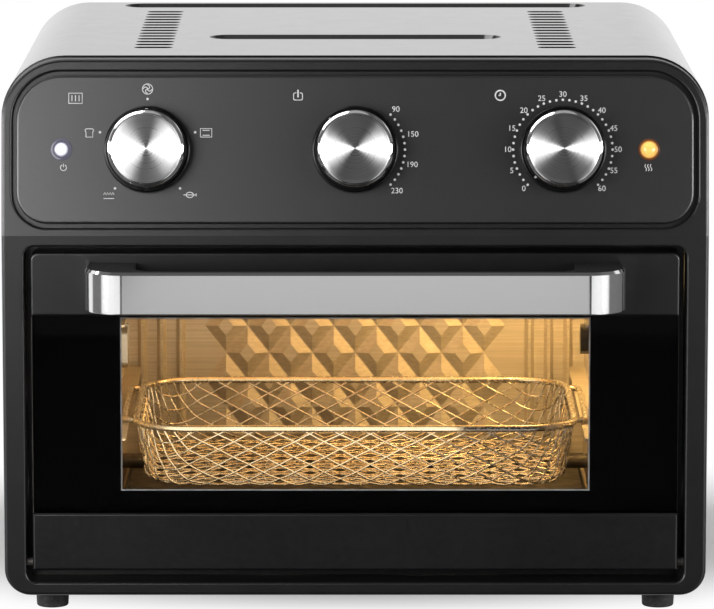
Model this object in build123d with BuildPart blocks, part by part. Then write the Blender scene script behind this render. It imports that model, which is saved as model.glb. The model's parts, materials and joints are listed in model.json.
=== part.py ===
from build123d import *
import os
from math import atan2, cos, degrees, radians, sin

# Countertop air fryer oven with a drop-down glass door, three control knobs and a fry basket.
# Frame: +X to the right of a person facing the door, +Y towards the back, +Z up.
# The origin is on the worktop, under the middle of the bounding box. Units are millimetres.

os.makedirs("parts", exist_ok=True)

# Driving dimensions of the body
WIDTH = 400.0
BODY_HEIGHT = 305.8
FOOT_HEIGHT = 10.5
FRONT_Y = -152.5
BODY_DEPTH = 333.0
TOP_RADIUS = 35.0
LOW_RADIUS = 15.0
SILL_DROP = 1.3
CREASE_HEIGHT = 206.0
PANEL_TILT = 9.0
SHEET = 1.0

UNDERSIDE_Z = FOOT_HEIGHT
TOP_Z = UNDERSIDE_Z + BODY_HEIGHT
# Heights of the front and the cavity are taken from a line just above the underside
BASE_Z = UNDERSIDE_Z + SILL_DROP
BACK_Y = FRONT_Y + BODY_DEPTH
CREASE_Z = BASE_Z + CREASE_HEIGHT

# Fits: a part that turns, a part that is pressed on, a part that drops in, and a cut past an edge
RUNNING_GAP = 0.05
SHAFT_FIT = 0.02
DROP_IN = 0.1
PAST = 1.0

# Front bezel, a plastic moulding whose upper part leans back
BEZEL_DEPTH = 34.0
BEZEL_WALL = 3.0
BEZEL_FACE = 4.0
SLOPE_FACE = 7.0
BEZEL_EDGE = 2.0
LIP_EDGE = 1.4
PIN_HOLE_GAP = 0.7
BEZEL_BACK_Y = FRONT_Y + BEZEL_DEPTH

# Door opening in the bezel
OPENING_HALF = 187.5
OPENING_LOW = BASE_Z + 6.3
OPENING_HIGH = BASE_Z + 199.7
OPENING_RADIUS = 6.0
OPENING_RIM = 3.0

# Wrap-round shell, its vents and the channels pressed into the roof
SHELL_INSET = -SHEET
SHELL_LIFT = 1.0
SHELL_RETURN = 170.0
SHELL_OVERLAP = 6.0
SHELL_FRONT_Y = BEZEL_BACK_Y - SHELL_OVERLAP
SHELL_LENGTH = BACK_Y - SHELL_FRONT_Y
SHELL_TOP_Z = TOP_Z - SHELL_INSET
VENT_X = 116.0
VENT_COUNT = 14
VENT_PITCH = 15.7
VENT_LONG = 22.0
VENT_WIDE = 8.0
VENT_MID_Y = FRONT_Y + 172.5
RIBS = ((128.0, 172.0), (313.6, 286.0))
RIB_WIDE = 26.0
RIB_DEEP = 3.0
RIB_TAPER = 42.0
SIDE_VENT_COUNT = 9
SIDE_VENT_PITCH = 11.0
SIDE_VENT_TALL = 46.0
SIDE_VENT_WIDE = 4.0
SIDE_VENT_Y = 95.0
SIDE_VENT_Z = BASE_Z + 225.0

# Rear cover and base plate, both set in from the shell's back edge
BACK_SET_IN = 4.0
BACK_INSET = SHELL_INSET + SHEET + 0.2
BACK_LIFT = SHELL_LIFT + SHEET + 0.2
BACK_PANEL_Y = BACK_Y - BACK_SET_IN
BACK_SLOTS_Z = BASE_Z + 245.0
BACK_SLOT_COLUMNS = 3
BACK_SLOT_ROWS = 6
BACK_SLOT_PITCH_X = 92.0
BACK_SLOT_PITCH_Z = 9.0
BACK_SLOT_LONG = 76.0
BACK_SLOT_WIDE = 4.0
PAN_HALF = 183.0
PAN_SLOT_COLUMNS = 2
PAN_SLOT_ROWS = 8
PAN_SLOT_PITCH_X = 110.0
PAN_SLOT_PITCH_Y = 14.0
PAN_SLOT_LONG = 60.0
PAN_SLOT_WIDE = 5.0

# Screws of the rear cover
BACK_SCREW_X = 170.0
BACK_SCREW_HEIGHTS = (40.0, 150.0, 262.0)
BACK_SCREWS = [(x, BASE_Z + rise) for x in (-BACK_SCREW_X, BACK_SCREW_X) for rise in BACK_SCREW_HEIGHTS]
SCREW_HOLE = 1.7
HEAD_RADIUS = 3.2
HEAD_TALL = 2.0
HEAD_EDGE = 0.8
SHANK_LONG = 7.0

# Gland of the mains lead
GLAND = (-140.0, BASE_Z + 60.0)
GLAND_RADIUS = 8.0
GLAND_FLANGE = 3.0
GLAND_TALL = 4.0
GLAND_NECK = 8.0
GLAND_EDGE = 1.2
CORD_HOLE = 3.6

# Feet: the front pair under the bezel, the rear pair under the base plate
FOOT_RADIUS = 9.6
FOOT_X = 174.0
FOOT_FRONT_Y = FRONT_Y + 15.0 + FOOT_RADIUS
FOOT_BACK_Y = BACK_Y - 30.0
FOOT_PLACES = [(x, y) for x in (-FOOT_X, FOOT_X) for y in (FOOT_FRONT_Y, FOOT_BACK_Y)]
FOOT_TAPER = 3.0
FOOT_EDGE = 1.2

# Control panel on the leaning face
PANEL_RISE = 48.8
PANEL_WIDTH = 383.0
PANEL_HEIGHT = 83.8
PANEL_TOP_RADIUS = 25.4
PANEL_LOW_RADIUS = 17.4
PANEL_GROOVE = 2.4
PANEL_RECESS = 4.0
PANEL_THICK = 4.6
PANEL_LEDGE = 6.0
PANEL_EDGE = 1.4
PANEL_FACE = PANEL_THICK - PANEL_RECESS

# Knobs and their shafts
KNOB_SPACING = 117.3
CONTROL_X = {"function": -KNOB_SPACING, "temperature": 0.0, "timer": KNOB_SPACING}
KNOB_GAP = 0.8
SKIRT_RADIUS = 24.8
SKIRT_HEIGHT = 7.0
SKIRT_TAPER = 4.0
SKIRT_EDGE = 1.2
GRIP_RADIUS = 22.6
GRIP_HEIGHT = 13.0
GRIP_TAPER = 2.0
CAP_RADIUS = 21.6
CAP_HEIGHT = 3.2
CAP_BEVEL = 1.9
KNOB_BASE = PANEL_FACE + KNOB_GAP
KNOB_TOP = KNOB_BASE + SKIRT_HEIGHT + GRIP_HEIGHT
SHAFT_RADIUS = 3.0
SHAFT_IN = 12.0
SHAFT_OUT = KNOB_TOP - 6.0

# Indicator lamps
LAMP_X = 166.0
LAMP_RADIUS = 6.2
LAMP_FLANGE = 1.2
LENS_STEP = 0.6
LENS_TALL = 2.4
LENS_TAPER = 40.0
STEM_RADIUS = 4.8
STEM_LONG = 22.0

# Steel plate behind the panel, and the three controls on it
BRACKET_THICK = 1.2
BRACKET_OUT = -SLOPE_FACE
BRACKET_TRIM = 4.0
BRACKET_LAMP_GAP = 1.0
MODULE_OUT = BRACKET_OUT - BRACKET_THICK
BUSH_RADIUS = 4.8
BUSH_OUT = 0.3
BUSH_GAP = 0.3
SWITCH_SIDE = 36.0
SWITCH_CORNER = 4.0
SWITCH_DEEP = 22.0
TAB_CIRCLE = 12.0
TAB_COUNT = 5
TAB_WIDE = 6.0
TAB_LONG = 8.0
THERMOSTAT_WIDE = 46.0
THERMOSTAT_TALL = 30.0
THERMOSTAT_CORNER = 3.0
THERMOSTAT_DEEP = 20.0
CELL_RADIUS = 11.0
CELL_DEEP = 7.0
TIMER_RADIUS = 28.0
TIMER_DEEP = 24.0
BELL_POST = 3.0
BELL_GAP = 3.0
BELL_RADIUS = 24.0
BELL_DEEP = 6.0
BELL_TAPER = 25.0

# Oven cavity
CAVITY_HALF = 142.0
CAVITY_LOW = BASE_Z + 20.0
CAVITY_HIGH = BASE_Z + 197.0
CAVITY_FRONT_Y = FRONT_Y + 22.0
CAVITY_BACK_Y = 140.0
LINER = 0.8
CAVITY_MID_Y = (CAVITY_FRONT_Y + CAVITY_BACK_Y) / 2
CAVITY_MID_Z = (CAVITY_LOW + CAVITY_HIGH) / 2
FRAME_GAP = 0.4
FRAME_LIP = 6.0
FRAME_CORNER = 2.0

# Diamonds and beads pressed into the back wall
DIAMOND_WIDE = 26.7
DIAMOND_TALL = 34.0
DIAMOND_DEEP = 2.6
DIAMOND_TAPER = 68.0
DIAMOND_FILL = 0.97
DIAMOND_COLUMNS = 7
DIAMOND_ROWS = 5
BEAD_X = (108.0, 120.0, 132.0)
BEAD_WIDE = 6.0
BEAD_TAPER = 40.0

# Heating rods
HEATER_Y = (-72.0, 82.0)
UPPER_HEATER_Z = BASE_Z + 180.0
LOWER_HEATER_Z = BASE_Z + 34.0
HEATER_PLACES = [(y, z) for y in HEATER_Y for z in (LOWER_HEATER_Z, UPPER_HEATER_Z)]
HEATER_RADIUS = 4.5
HEATER_HOLE = 5.2
HEATER_HALF = CAVITY_HALF + 14.0
INSULATOR_RADIUS = 9.0
INSULATOR_LONG = 10.0

# Hot-air fan over the cavity, with its cooled motor above it
FAN_HOLE = 66.0
GUARD_RADIUS = 74.0
GUARD_SLOTS = ((42.0, 24, 38.0, 4.0), (14.0, 8, 12.0, 3.4))
DRUM_RADIUS = 72.0
DRUM_TALL = 23.0
DRUM_LOW = CAVITY_HIGH + LINER
SHAFT_HOLE = 6.0
FAN_LOW = CAVITY_HIGH + 3.0
FAN_TALL = 14.0
FAN_RADIUS = 58.0
FAN_EYE = 16.0
FAN_BLADES = 14
COOLING_LOW = DRUM_LOW + DRUM_TALL + 4.0
COOLING_TALL = 9.0
COOLING_RADIUS = 38.0
COOLING_EYE = 12.0
COOLING_BLADES = 12
BLADE_THICK = 1.2
BLADE_SWEEP = 18.0
HUB_SHARE = 0.55
MOTOR_LOW = COOLING_LOW + 15.0
MOTOR_PLATE = 1.5
BRIDGE_HALF = 84.0
BRIDGE_WIDE = 44.0
STATOR_LONG = 58.0
STATOR_WIDE = 48.0
STATOR_CORNER = 5.0
STATOR_TALL = 26.0
END_BELL_RADIUS = 16.0
END_BELL_TALL = 8.0
END_BELL_TAPER = 10.0
FAN_SHAFT_LOW = FAN_LOW - 1.0
FAN_SHAFT_TOP = MOTOR_LOW + 20.0

# Rotisserie drive on the right wall and the rest on the left wall
SOCKET_Z = BASE_Z + 122.0
SOCKET_HOLE = 10.0
SOCKET_RADIUS = 9.0
SOCKET_IN = 8.0
SOCKET_END = CAVITY_HALF + 10.0
SOCKET_DEEP = 14.0
SPIT_SQUARE = 6.5
STUB_RADIUS = 4.0
STUB_LONG = 14.0
SPIT_MOTOR_X = SOCKET_END + 1.0
GEARBOX_RADIUS = 25.0
GEARBOX_DEEP = 18.0
SPIT_STATOR_RADIUS = 22.0
SPIT_STATOR_DEEP = 14.0
REST_WIDE = 26.0
REST_TALL = 24.0
REST_CORNER = 4.0
REST_DROP = 4.0
REST_DEEP = 7.0
NOTCH_RADIUS = 4.5
NOTCH_TALL = 16.0

# Oven lamp behind a glass cover in the right wall
OVEN_LAMP = (88.0, BASE_Z + 150.0)
OVEN_LAMP_HOLE = 14.0
COVER_RADIUS = 16.0
COVER_DEEP = 5.0
COVER_TAPER = 15.0
COVER_EDGE = 2.0
COVER_RIM = 3.0
COVER_HOLLOW = 2.5
BULB_X = CAVITY_HALF + 11.0
BULB_RADIUS = 9.0
BULB_NECK = 5.0
BULB_NECK_LONG = 16.0
CUP_X = BULB_X + 9.0
CUP_RADIUS = 10.0
CUP_DEEP = 8.0
CUP_BASE = 6.0

# Door
DOOR_SET_BACK = 1.5
DOOR_HALF = 184.0
DOOR_LOW = BASE_Z + 13.0
DOOR_HIGH = BASE_Z + 196.4
TOP_RAIL_LOW = BASE_Z + 159.7
LOW_RAIL_HIGH = BASE_Z + 46.3
DOOR_DEPTH = 18.0
DOOR_FACE_Y = FRONT_Y + DOOR_SET_BACK
DOOR_BACK_Y = DOOR_FACE_Y + DOOR_DEPTH
RAIL_WALL = 1.2
RAIL_RADIUS = 4.5
RAIL_EDGE = 1.6
RAIL_DEPTH = DOOR_DEPTH - SHEET
RAIL_BACK_Y = DOOR_FACE_Y + RAIL_DEPTH
GLASS_THICK = 4.0
GLASS_HALF = 183.6
GLASS_OVERLAP = 10.0
GLASS_SPARE = 0.5
GLASS_Y = DOOR_FACE_Y + RAIL_WALL + 0.2
GLASS_LOW = LOW_RAIL_HIGH - GLASS_OVERLAP
GLASS_HIGH = TOP_RAIL_LOW + GLASS_OVERLAP
WINDOW_HALF = 140.0
WINDOW_LOW = BASE_Z + 56.0
WINDOW_HIGH = BASE_Z + 165.0
WINDOW_RADIUS = 4.0
PAN_MARGIN = 0.5

# Handle: a bent steel strip over a plastic core
HANDLE_HALF = 152.0
HANDLE_LOW = BASE_Z + 167.3
HANDLE_TALL = 24.0
HANDLE_REACH = 44.5
HANDLE_BEND = 22.0
HANDLE_FRONT_Y = DOOR_FACE_Y - HANDLE_REACH
HANDLE_MID_Z = HANDLE_LOW + HANDLE_TALL / 2
STRIP_THICK = 2.0
STRIP_BEVEL_TALL = 1.7
STRIP_BEVEL_DEEP = 1.1
CORE_THICK = 9.0
CORE_FOOT = 26.0
CORE_INSET = 0.8
CORE_BEND = 12.0
CORE_HOLE = 20.0
HANDLE_SCREW_X = HANDLE_HALF - STRIP_THICK - CORE_FOOT / 2
HANDLE_SCREWS = [(-HANDLE_SCREW_X, HANDLE_MID_Z), (HANDLE_SCREW_X, HANDLE_MID_Z)]
HANDLE_SCREW_RADIUS = 2.0
HANDLE_SCREW_GAP = 0.2
HANDLE_HEAD_TALL = 2.4
HANDLE_SHANK = 18.0

# Hinge line along the lower front edge of the door
HINGE = (DOOR_FACE_Y + 7.0, BASE_Z + 16.8)
PIN_RADIUS = 2.5
PIN_IN = 2.5
PIN_SHORT = 0.5
HINGE_GAP = 0.3
HINGE_PLATE_IN = OPENING_HALF + OPENING_RIM + HINGE_GAP
HINGE_PLATE_OUT = WIDTH / 2 - BEZEL_WALL - HINGE_GAP
HINGE_PLATE_LONG = 30.0
HINGE_PLATE_TALL = 28.0
HINGE_PLATE_CORNER = 1.5
HINGE_PLATE_MID = (HINGE[0] + 11.0, HINGE[1] + 10.2)
SPRING_ROOM = 3.4
SPRING_RADIUS = 3.8
SPRING_WIRE = 0.5
SPRING_PITCH = 1.3
SPRING_TURNS = 1.5
SPRING_X = HINGE_PLATE_IN + 2 * SPRING_WIRE
SPRING_LONG = SPRING_PITCH * SPRING_TURNS

# Fry basket, and the guides that carry it
BASKET_HALF = 128.0
BASKET_FRONT_Y = FRONT_Y + 53.0
BASKET_BACK_Y = FRONT_Y + 223.0
BASKET_MID_Y = (BASKET_FRONT_Y + BASKET_BACK_Y) / 2
BASKET_LONG = BASKET_BACK_Y - BASKET_FRONT_Y
BASKET_RIM_Z = BASE_Z + 86.0
BASKET_TALL = 35.5
BASKET_DRAFT = 6.0
BASKET_TAPER = degrees(atan2(BASKET_DRAFT, BASKET_TALL))
BASKET_CORNER = 32.0
BASKET_BEND = 8.0
BASKET_WALL = 1.2
BASKET_WIRE = 2.0
EAR_OUT = 135.0
EAR_WIRE = 1.75
EAR_INSET_Y = 30.0
EAR_BEND = 6.0
GUIDE_REACH = 10.0
GUIDE_THICK = 1.2
GUIDE_GAP = 0.3
GUIDE_TOPS = (BASKET_RIM_Z - EAR_WIRE - GUIDE_GAP, BASE_Z + 150.0)
GUIDE_FRONT_Y = CAVITY_FRONT_Y + 10.0
GUIDE_BACKS_Y = (CAVITY_BACK_Y - 8.0, CAVITY_BACK_Y - 78.0)

# Crumb tray on the cavity floor
TRAY_HALF = CAVITY_HALF - 3.0
TRAY_FRONT_Y = CAVITY_FRONT_Y + 8.0
TRAY_BACK_Y = CAVITY_BACK_Y - 6.0
TRAY_MID_Y = (TRAY_FRONT_Y + TRAY_BACK_Y) / 2
TRAY_LONG = TRAY_BACK_Y - TRAY_FRONT_Y
TRAY_TALL = 6.0
TRAY_LIFT = 0.3
TRAY_RADIUS = 4.0
TRAY_LOW = CAVITY_LOW + TRAY_LIFT

# Rear spacers reach as far back as the handle reaches forward
SPACER_PLACES = [(-110.0, BASE_Z + 110.0), (110.0, BASE_Z + 110.0)]
SPACER_RADIUS = 11.0
SPACER_TAPER = 6.0
SPACER_EDGE = 2.0
SPACER_LONG = -HANDLE_FRONT_Y - BACK_PANEL_Y

SLOPE = Plane(
    origin=(0, FRONT_Y, CREASE_Z),
    x_dir=(1, 0, 0),
    z_dir=(0, -cos(radians(PANEL_TILT)), sin(radians(PANEL_TILT))),
)
SLOPE_AXIS = Axis((0, 0, 0), SLOPE.z_dir)


def front_plane(y):
    """Upright plane at depth y that faces the front; its local axes are X and Z."""
    return Plane.XZ.offset(-y)


def side_plane(x):
    """Upright plane at x that faces right; its local axes are Y and Z."""
    return Plane.YZ.offset(x)


def panel_plane(x=0.0, out=0.0):
    """Plane on the leaning face, centred on the panel's mid line at x, out from the face."""
    place = SLOPE.from_local_coords(Vector(x, PANEL_RISE, out))
    return Plane(origin=place, x_dir=SLOPE.x_dir, z_dir=SLOPE.z_dir)


def fan_plane(z):
    """Level plane at height z, centred on the fan's axis."""
    return Plane.XY.offset(z).shift_origin((0, CAVITY_MID_Y, z))


def save(piece, name):
    """Labels a finished piece and writes it as its own file."""
    piece.part.label = name
    export_step(piece.part, f"parts/{name}.step")


def body_outline(y, inset, lift=None):
    """Outline of the oven body at depth y, moved inwards by inset; its underside by lift, if given."""
    low_inset = inset if lift is None else lift
    with BuildSketch(front_plane(y)) as outline:
        with Locations((0, (UNDERSIDE_Z + low_inset + TOP_Z - inset) / 2)):
            Rectangle(WIDTH - 2 * inset, BODY_HEIGHT - inset - low_inset)
        fillet(outline.vertices().group_by(Axis.Y)[-1], TOP_RADIUS - inset)
        fillet(outline.vertices().group_by(Axis.Y)[0], LOW_RADIUS - low_inset)
    return outline.sketch


def panel_outline(out, grow):
    """Outline of the control panel at a height above the leaning face, grown all round."""
    with BuildSketch(panel_plane(0, out)) as outline:
        Rectangle(PANEL_WIDTH + 2 * grow, PANEL_HEIGHT + 2 * grow)
        fillet(outline.vertices().group_by(Axis.Y)[-1], PANEL_TOP_RADIUS + grow)
        fillet(outline.vertices().group_by(Axis.Y)[0], PANEL_LOW_RADIUS + grow)
    return outline.sketch


def upright_rectangle(y, half, low, high, radius=0.0):
    """Rectangle in an upright plane at depth y, from low to high, with rounded corners."""
    with BuildSketch(front_plane(y)) as outline:
        with Locations((0, (low + high) / 2)):
            if radius > 0:
                RectangleRounded(2 * half, high - low, radius)
            else:
                Rectangle(2 * half, high - low)
    return outline.sketch


# Casing

# Wrap-round sheet: roof, both sides and a short return under each side; it laps over the bezel
with BuildPart() as outer_shell:
    extrude(body_outline(BACK_Y, SHELL_INSET, SHELL_LIFT), amount=SHELL_LENGTH)
    extrude(
        body_outline(BACK_Y, SHELL_INSET + SHEET, SHELL_LIFT + SHEET),
        amount=SHELL_LENGTH,
        mode=Mode.SUBTRACT,
    )
    with BuildSketch(Plane.XY.offset(UNDERSIDE_Z)) as underside:
        with Locations((0, (SHELL_FRONT_Y + BACK_Y) / 2)):
            Rectangle(2 * SHELL_RETURN, SHELL_LENGTH + 2 * PAST)
        # The rounded lower corners end behind the bezel
        with Locations((0, BEZEL_BACK_Y - SHELL_OVERLAP)):
            Rectangle(WIDTH + 4 * SHEET, 2 * SHELL_OVERLAP)
    extrude(amount=LOW_RADIUS, mode=Mode.SUBTRACT)
    # Pressed channels across the roof: the sheet dips, so it also grows below
    for set_back, length in RIBS:
        with BuildSketch(Plane.XY.offset(SHELL_TOP_Z - SHEET)) as rib_under:
            with Locations((0, FRONT_Y + set_back)):
                SlotOverall(length, RIB_WIDE)
        extrude(amount=-RIB_DEEP, taper=RIB_TAPER)
        with BuildSketch(Plane.XY.offset(SHELL_TOP_Z)) as rib_over:
            with Locations((0, FRONT_Y + set_back)):
                SlotOverall(length - SHEET, RIB_WIDE - SHEET)
        extrude(amount=-RIB_DEEP, taper=RIB_TAPER, mode=Mode.SUBTRACT)
    with BuildSketch(Plane.XY.offset(SHELL_TOP_Z)) as roof_vents:
        for x in (-VENT_X, VENT_X):
            with Locations((x, VENT_MID_Y)):
                with GridLocations(0, VENT_PITCH, 1, VENT_COUNT):
                    SlotOverall(VENT_LONG, VENT_WIDE)
    extrude(amount=-2 * SHEET, mode=Mode.SUBTRACT)
    with BuildSketch(side_plane(-WIDTH / 2 - 2 * SHEET)) as side_vents:
        with Locations((SIDE_VENT_Y, SIDE_VENT_Z)):
            with GridLocations(SIDE_VENT_PITCH, 0, SIDE_VENT_COUNT, 1):
                SlotOverall(SIDE_VENT_TALL, SIDE_VENT_WIDE, rotation=90)
    extrude(amount=WIDTH + 4 * SHEET, mode=Mode.SUBTRACT)
save(outer_shell, "outer_shell")

# Hollow of the bezel, which keeps a thick wall behind the leaning face
with BuildPart() as bezel_hollow:
    extrude(body_outline(BEZEL_BACK_Y, BEZEL_WALL), amount=BEZEL_DEPTH - BEZEL_FACE)
    split(bisect_by=SLOPE.offset(-SLOPE_FACE), keep=Keep.BOTTOM)

with BuildPart() as front_bezel:
    extrude(body_outline(BEZEL_BACK_Y, 0), amount=BEZEL_DEPTH)
    split(bisect_by=SLOPE, keep=Keep.BOTTOM)
    # Both front faces are rounded all round, but not at the crease where they meet
    steepest = -cos(radians(2 * PANEL_TILT))
    front_edges = front_bezel.faces().filter_by(lambda face: face.normal_at().Y < steepest).edges()
    fillet([edge for edge in front_edges if abs(edge.center().Z - CREASE_Z) > BEZEL_EDGE], BEZEL_EDGE)
    add(bezel_hollow.part, mode=Mode.SUBTRACT)
    # Return wall that lines the door opening
    extrude(
        upright_rectangle(
            BEZEL_BACK_Y,
            OPENING_HALF + OPENING_RIM,
            OPENING_LOW - OPENING_RIM,
            OPENING_HIGH + OPENING_RIM,
            OPENING_RADIUS + OPENING_RIM,
        ),
        amount=BEZEL_DEPTH - BEZEL_EDGE,
    )
    extrude(
        upright_rectangle(BEZEL_BACK_Y, OPENING_HALF, OPENING_LOW, OPENING_HIGH, OPENING_RADIUS),
        amount=BEZEL_DEPTH,
        mode=Mode.SUBTRACT,
    )
    # Recess, groove and window for the control panel
    extrude(panel_outline(0, PANEL_GROOVE), amount=-PANEL_RECESS, mode=Mode.SUBTRACT)
    extrude(panel_outline(0, -PANEL_LEDGE), amount=-3 * SLOPE_FACE, mode=Mode.SUBTRACT)
    # Softened edges round the opening and the recess
    upright_face = front_bezel.faces().filter_by(Axis.Y).sort_by(Axis.Y)[0]
    fillet(upright_face.inner_wires().edges(), LIP_EDGE)
    leaning_face = front_bezel.faces().filter_by(SLOPE).sort_by(SLOPE_AXIS)[-1]
    fillet(leaning_face.inner_wires().edges(), LIP_EDGE)
    # Clearance holes for the hinge pins
    with BuildSketch(side_plane(-WIDTH / 2 + BEZEL_WALL)) as pin_holes:
        with Locations(HINGE):
            Circle(PIN_RADIUS + PIN_HOLE_GAP)
    extrude(amount=WIDTH - 2 * BEZEL_WALL, mode=Mode.SUBTRACT)
save(front_bezel, "front_bezel")

# Base plate under the body
with BuildPart() as bottom_pan:
    with BuildSketch(Plane.XY.offset(UNDERSIDE_Z)) as pan_outline:
        with Locations((0, (BEZEL_BACK_Y + BACK_PANEL_Y) / 2)):
            Rectangle(2 * PAN_HALF, BACK_PANEL_Y - BEZEL_BACK_Y)
        with Locations((0, CAVITY_MID_Y)):
            with GridLocations(PAN_SLOT_PITCH_X, PAN_SLOT_PITCH_Y, PAN_SLOT_COLUMNS, PAN_SLOT_ROWS):
                SlotOverall(PAN_SLOT_LONG, PAN_SLOT_WIDE, mode=Mode.SUBTRACT)
    extrude(amount=SHEET)
save(bottom_pan, "bottom_pan")

# Rear cover
with BuildPart() as back_panel:
    extrude(body_outline(BACK_PANEL_Y, BACK_INSET, BACK_LIFT), amount=SHEET)
    with BuildSketch(front_plane(BACK_PANEL_Y)) as back_holes:
        with Locations((0, BACK_SLOTS_Z)):
            with GridLocations(BACK_SLOT_PITCH_X, BACK_SLOT_PITCH_Z, BACK_SLOT_COLUMNS, BACK_SLOT_ROWS):
                SlotOverall(BACK_SLOT_LONG, BACK_SLOT_WIDE)
        with Locations(*BACK_SCREWS):
            Circle(SCREW_HOLE)
        with Locations(GLAND):
            Circle(GLAND_RADIUS)
    extrude(amount=SHEET, mode=Mode.SUBTRACT)
save(back_panel, "back_panel")

# Spacers that keep the back off a wall
with BuildPart() as rear_spacers:
    with BuildSketch(front_plane(BACK_PANEL_Y)) as spacer_feet:
        with Locations(*SPACER_PLACES):
            Circle(SPACER_RADIUS)
    extrude(amount=-SPACER_LONG, taper=SPACER_TAPER)
    fillet(rear_spacers.faces().group_by(Axis.Y)[-1].edges(), SPACER_EDGE)
save(rear_spacers, "rear_spacers")

with BuildPart() as feet:
    with BuildSketch(Plane.XY.offset(UNDERSIDE_Z)) as foot_tops:
        with Locations(*FOOT_PLACES):
            Circle(FOOT_RADIUS)
    extrude(amount=-FOOT_HEIGHT, taper=FOOT_TAPER)
    fillet(feet.faces().group_by(Axis.Z)[0].edges(), FOOT_EDGE)
save(feet, "feet")

with BuildPart() as cover_screws:
    with BuildSketch(front_plane(BACK_PANEL_Y)) as screw_heads:
        with Locations(*BACK_SCREWS):
            Circle(HEAD_RADIUS)
    extrude(amount=-HEAD_TALL)
    fillet(cover_screws.faces().group_by(Axis.Y)[-1].edges(), HEAD_EDGE)
    with BuildSketch(front_plane(BACK_PANEL_Y)) as screw_shanks:
        with Locations(*BACK_SCREWS):
            Circle(SCREW_HOLE - DROP_IN)
    extrude(amount=SHANK_LONG)
save(cover_screws, "cover_screws")

# Bush where the mains lead goes in
with BuildPart() as cord_gland:
    with BuildSketch(front_plane(BACK_PANEL_Y)) as gland_flange:
        with Locations(GLAND):
            Circle(GLAND_RADIUS + GLAND_FLANGE)
    extrude(amount=-GLAND_TALL)
    fillet(cord_gland.faces().group_by(Axis.Y)[-1].edges(), GLAND_EDGE)
    with BuildSketch(front_plane(BACK_PANEL_Y)) as gland_neck:
        with Locations(GLAND):
            Circle(GLAND_RADIUS - DROP_IN)
    extrude(amount=GLAND_NECK)
    with BuildSketch(front_plane(BACK_PANEL_Y + GLAND_TALL)) as gland_bore:
        with Locations(GLAND):
            Circle(CORD_HOLE)
    extrude(amount=GLAND_TALL + GLAND_NECK, mode=Mode.SUBTRACT)
save(cord_gland, "cord_gland")

# Controls on the leaning face

CONTROL_PLACES = [(x, 0) for x in CONTROL_X.values()]
LAMP_PLACES = [(-LAMP_X, 0), (LAMP_X, 0)]

with BuildPart() as control_panel:
    extrude(panel_outline(-PANEL_RECESS, 0), amount=PANEL_THICK)
    panel_face = control_panel.faces().sort_by(SLOPE_AXIS)[-1]
    fillet(panel_face.edges(), PANEL_EDGE)
    with BuildSketch(panel_plane()) as panel_holes:
        with Locations(*CONTROL_PLACES):
            Circle(BUSH_RADIUS + BUSH_GAP)
        with Locations(*LAMP_PLACES):
            Circle(STEM_RADIUS + DROP_IN)
    extrude(amount=2 * PANEL_THICK, both=True, mode=Mode.SUBTRACT)
save(control_panel, "control_panel")

# Steel plate behind the panel that carries the switch, thermostat and timer
with BuildPart() as control_bracket:
    with BuildSketch(panel_plane(0, BRACKET_OUT)) as bracket_outline:
        RectangleRounded(PANEL_WIDTH, PANEL_HEIGHT - BRACKET_TRIM, PANEL_LOW_RADIUS)
        with Locations(*CONTROL_PLACES):
            Circle(BUSH_RADIUS + DROP_IN, mode=Mode.SUBTRACT)
        with Locations(*LAMP_PLACES):
            Circle(STEM_RADIUS + BRACKET_LAMP_GAP, mode=Mode.SUBTRACT)
    extrude(amount=-BRACKET_THICK)
save(control_bracket, "control_bracket")


def knob_pieces(name, x):
    """A knob, its spun steel cap and the shaft that it turns, all on one axis."""
    with BuildPart() as knob:
        with BuildSketch(panel_plane(x, KNOB_BASE)) as skirt:
            Circle(SKIRT_RADIUS)
        extrude(amount=SKIRT_HEIGHT, taper=SKIRT_TAPER)
        fillet(knob.faces().sort_by(SLOPE_AXIS)[-1].edges(), SKIRT_EDGE)
        with BuildSketch(panel_plane(x, KNOB_BASE + SKIRT_HEIGHT)) as grip:
            Circle(GRIP_RADIUS)
        extrude(amount=GRIP_HEIGHT, taper=GRIP_TAPER)
        with BuildSketch(panel_plane(x, KNOB_BASE)) as bore:
            Circle(SHAFT_RADIUS + SHAFT_FIT)
        extrude(amount=SHAFT_OUT - KNOB_BASE + SHAFT_FIT, mode=Mode.SUBTRACT)
    save(knob, f"{name}_knob")

    with BuildPart() as cap:
        with BuildSketch(panel_plane(x, KNOB_TOP)) as disc:
            Circle(CAP_RADIUS)
        extrude(amount=CAP_HEIGHT)
        chamfer(cap.faces().sort_by(SLOPE_AXIS)[-1].edges(), CAP_BEVEL)
    save(cap, f"{name}_knob_cap")

    with BuildPart() as shaft:
        with BuildSketch(panel_plane(x, MODULE_OUT - SHAFT_IN)) as round_bar:
            Circle(SHAFT_RADIUS)
        extrude(amount=SHAFT_OUT - MODULE_OUT + SHAFT_IN)
    save(shaft, f"{name}_shaft")


for control, control_x in CONTROL_X.items():
    knob_pieces(control, control_x)


def bush_and_bore(x):
    """Threaded bush of a control, in front of its case, and the bore its shaft turns in."""
    with BuildPart() as bush:
        with BuildSketch(panel_plane(x, MODULE_OUT)) as bush_outline:
            Circle(BUSH_RADIUS)
        extrude(amount=BUSH_OUT - MODULE_OUT)
    with BuildPart() as bore:
        with BuildSketch(panel_plane(x, BUSH_OUT)) as bore_outline:
            Circle(SHAFT_RADIUS + RUNNING_GAP)
        extrude(amount=-(BUSH_OUT - MODULE_OUT + SHAFT_IN + PAST))
    return bush.part, bore.part


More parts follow.
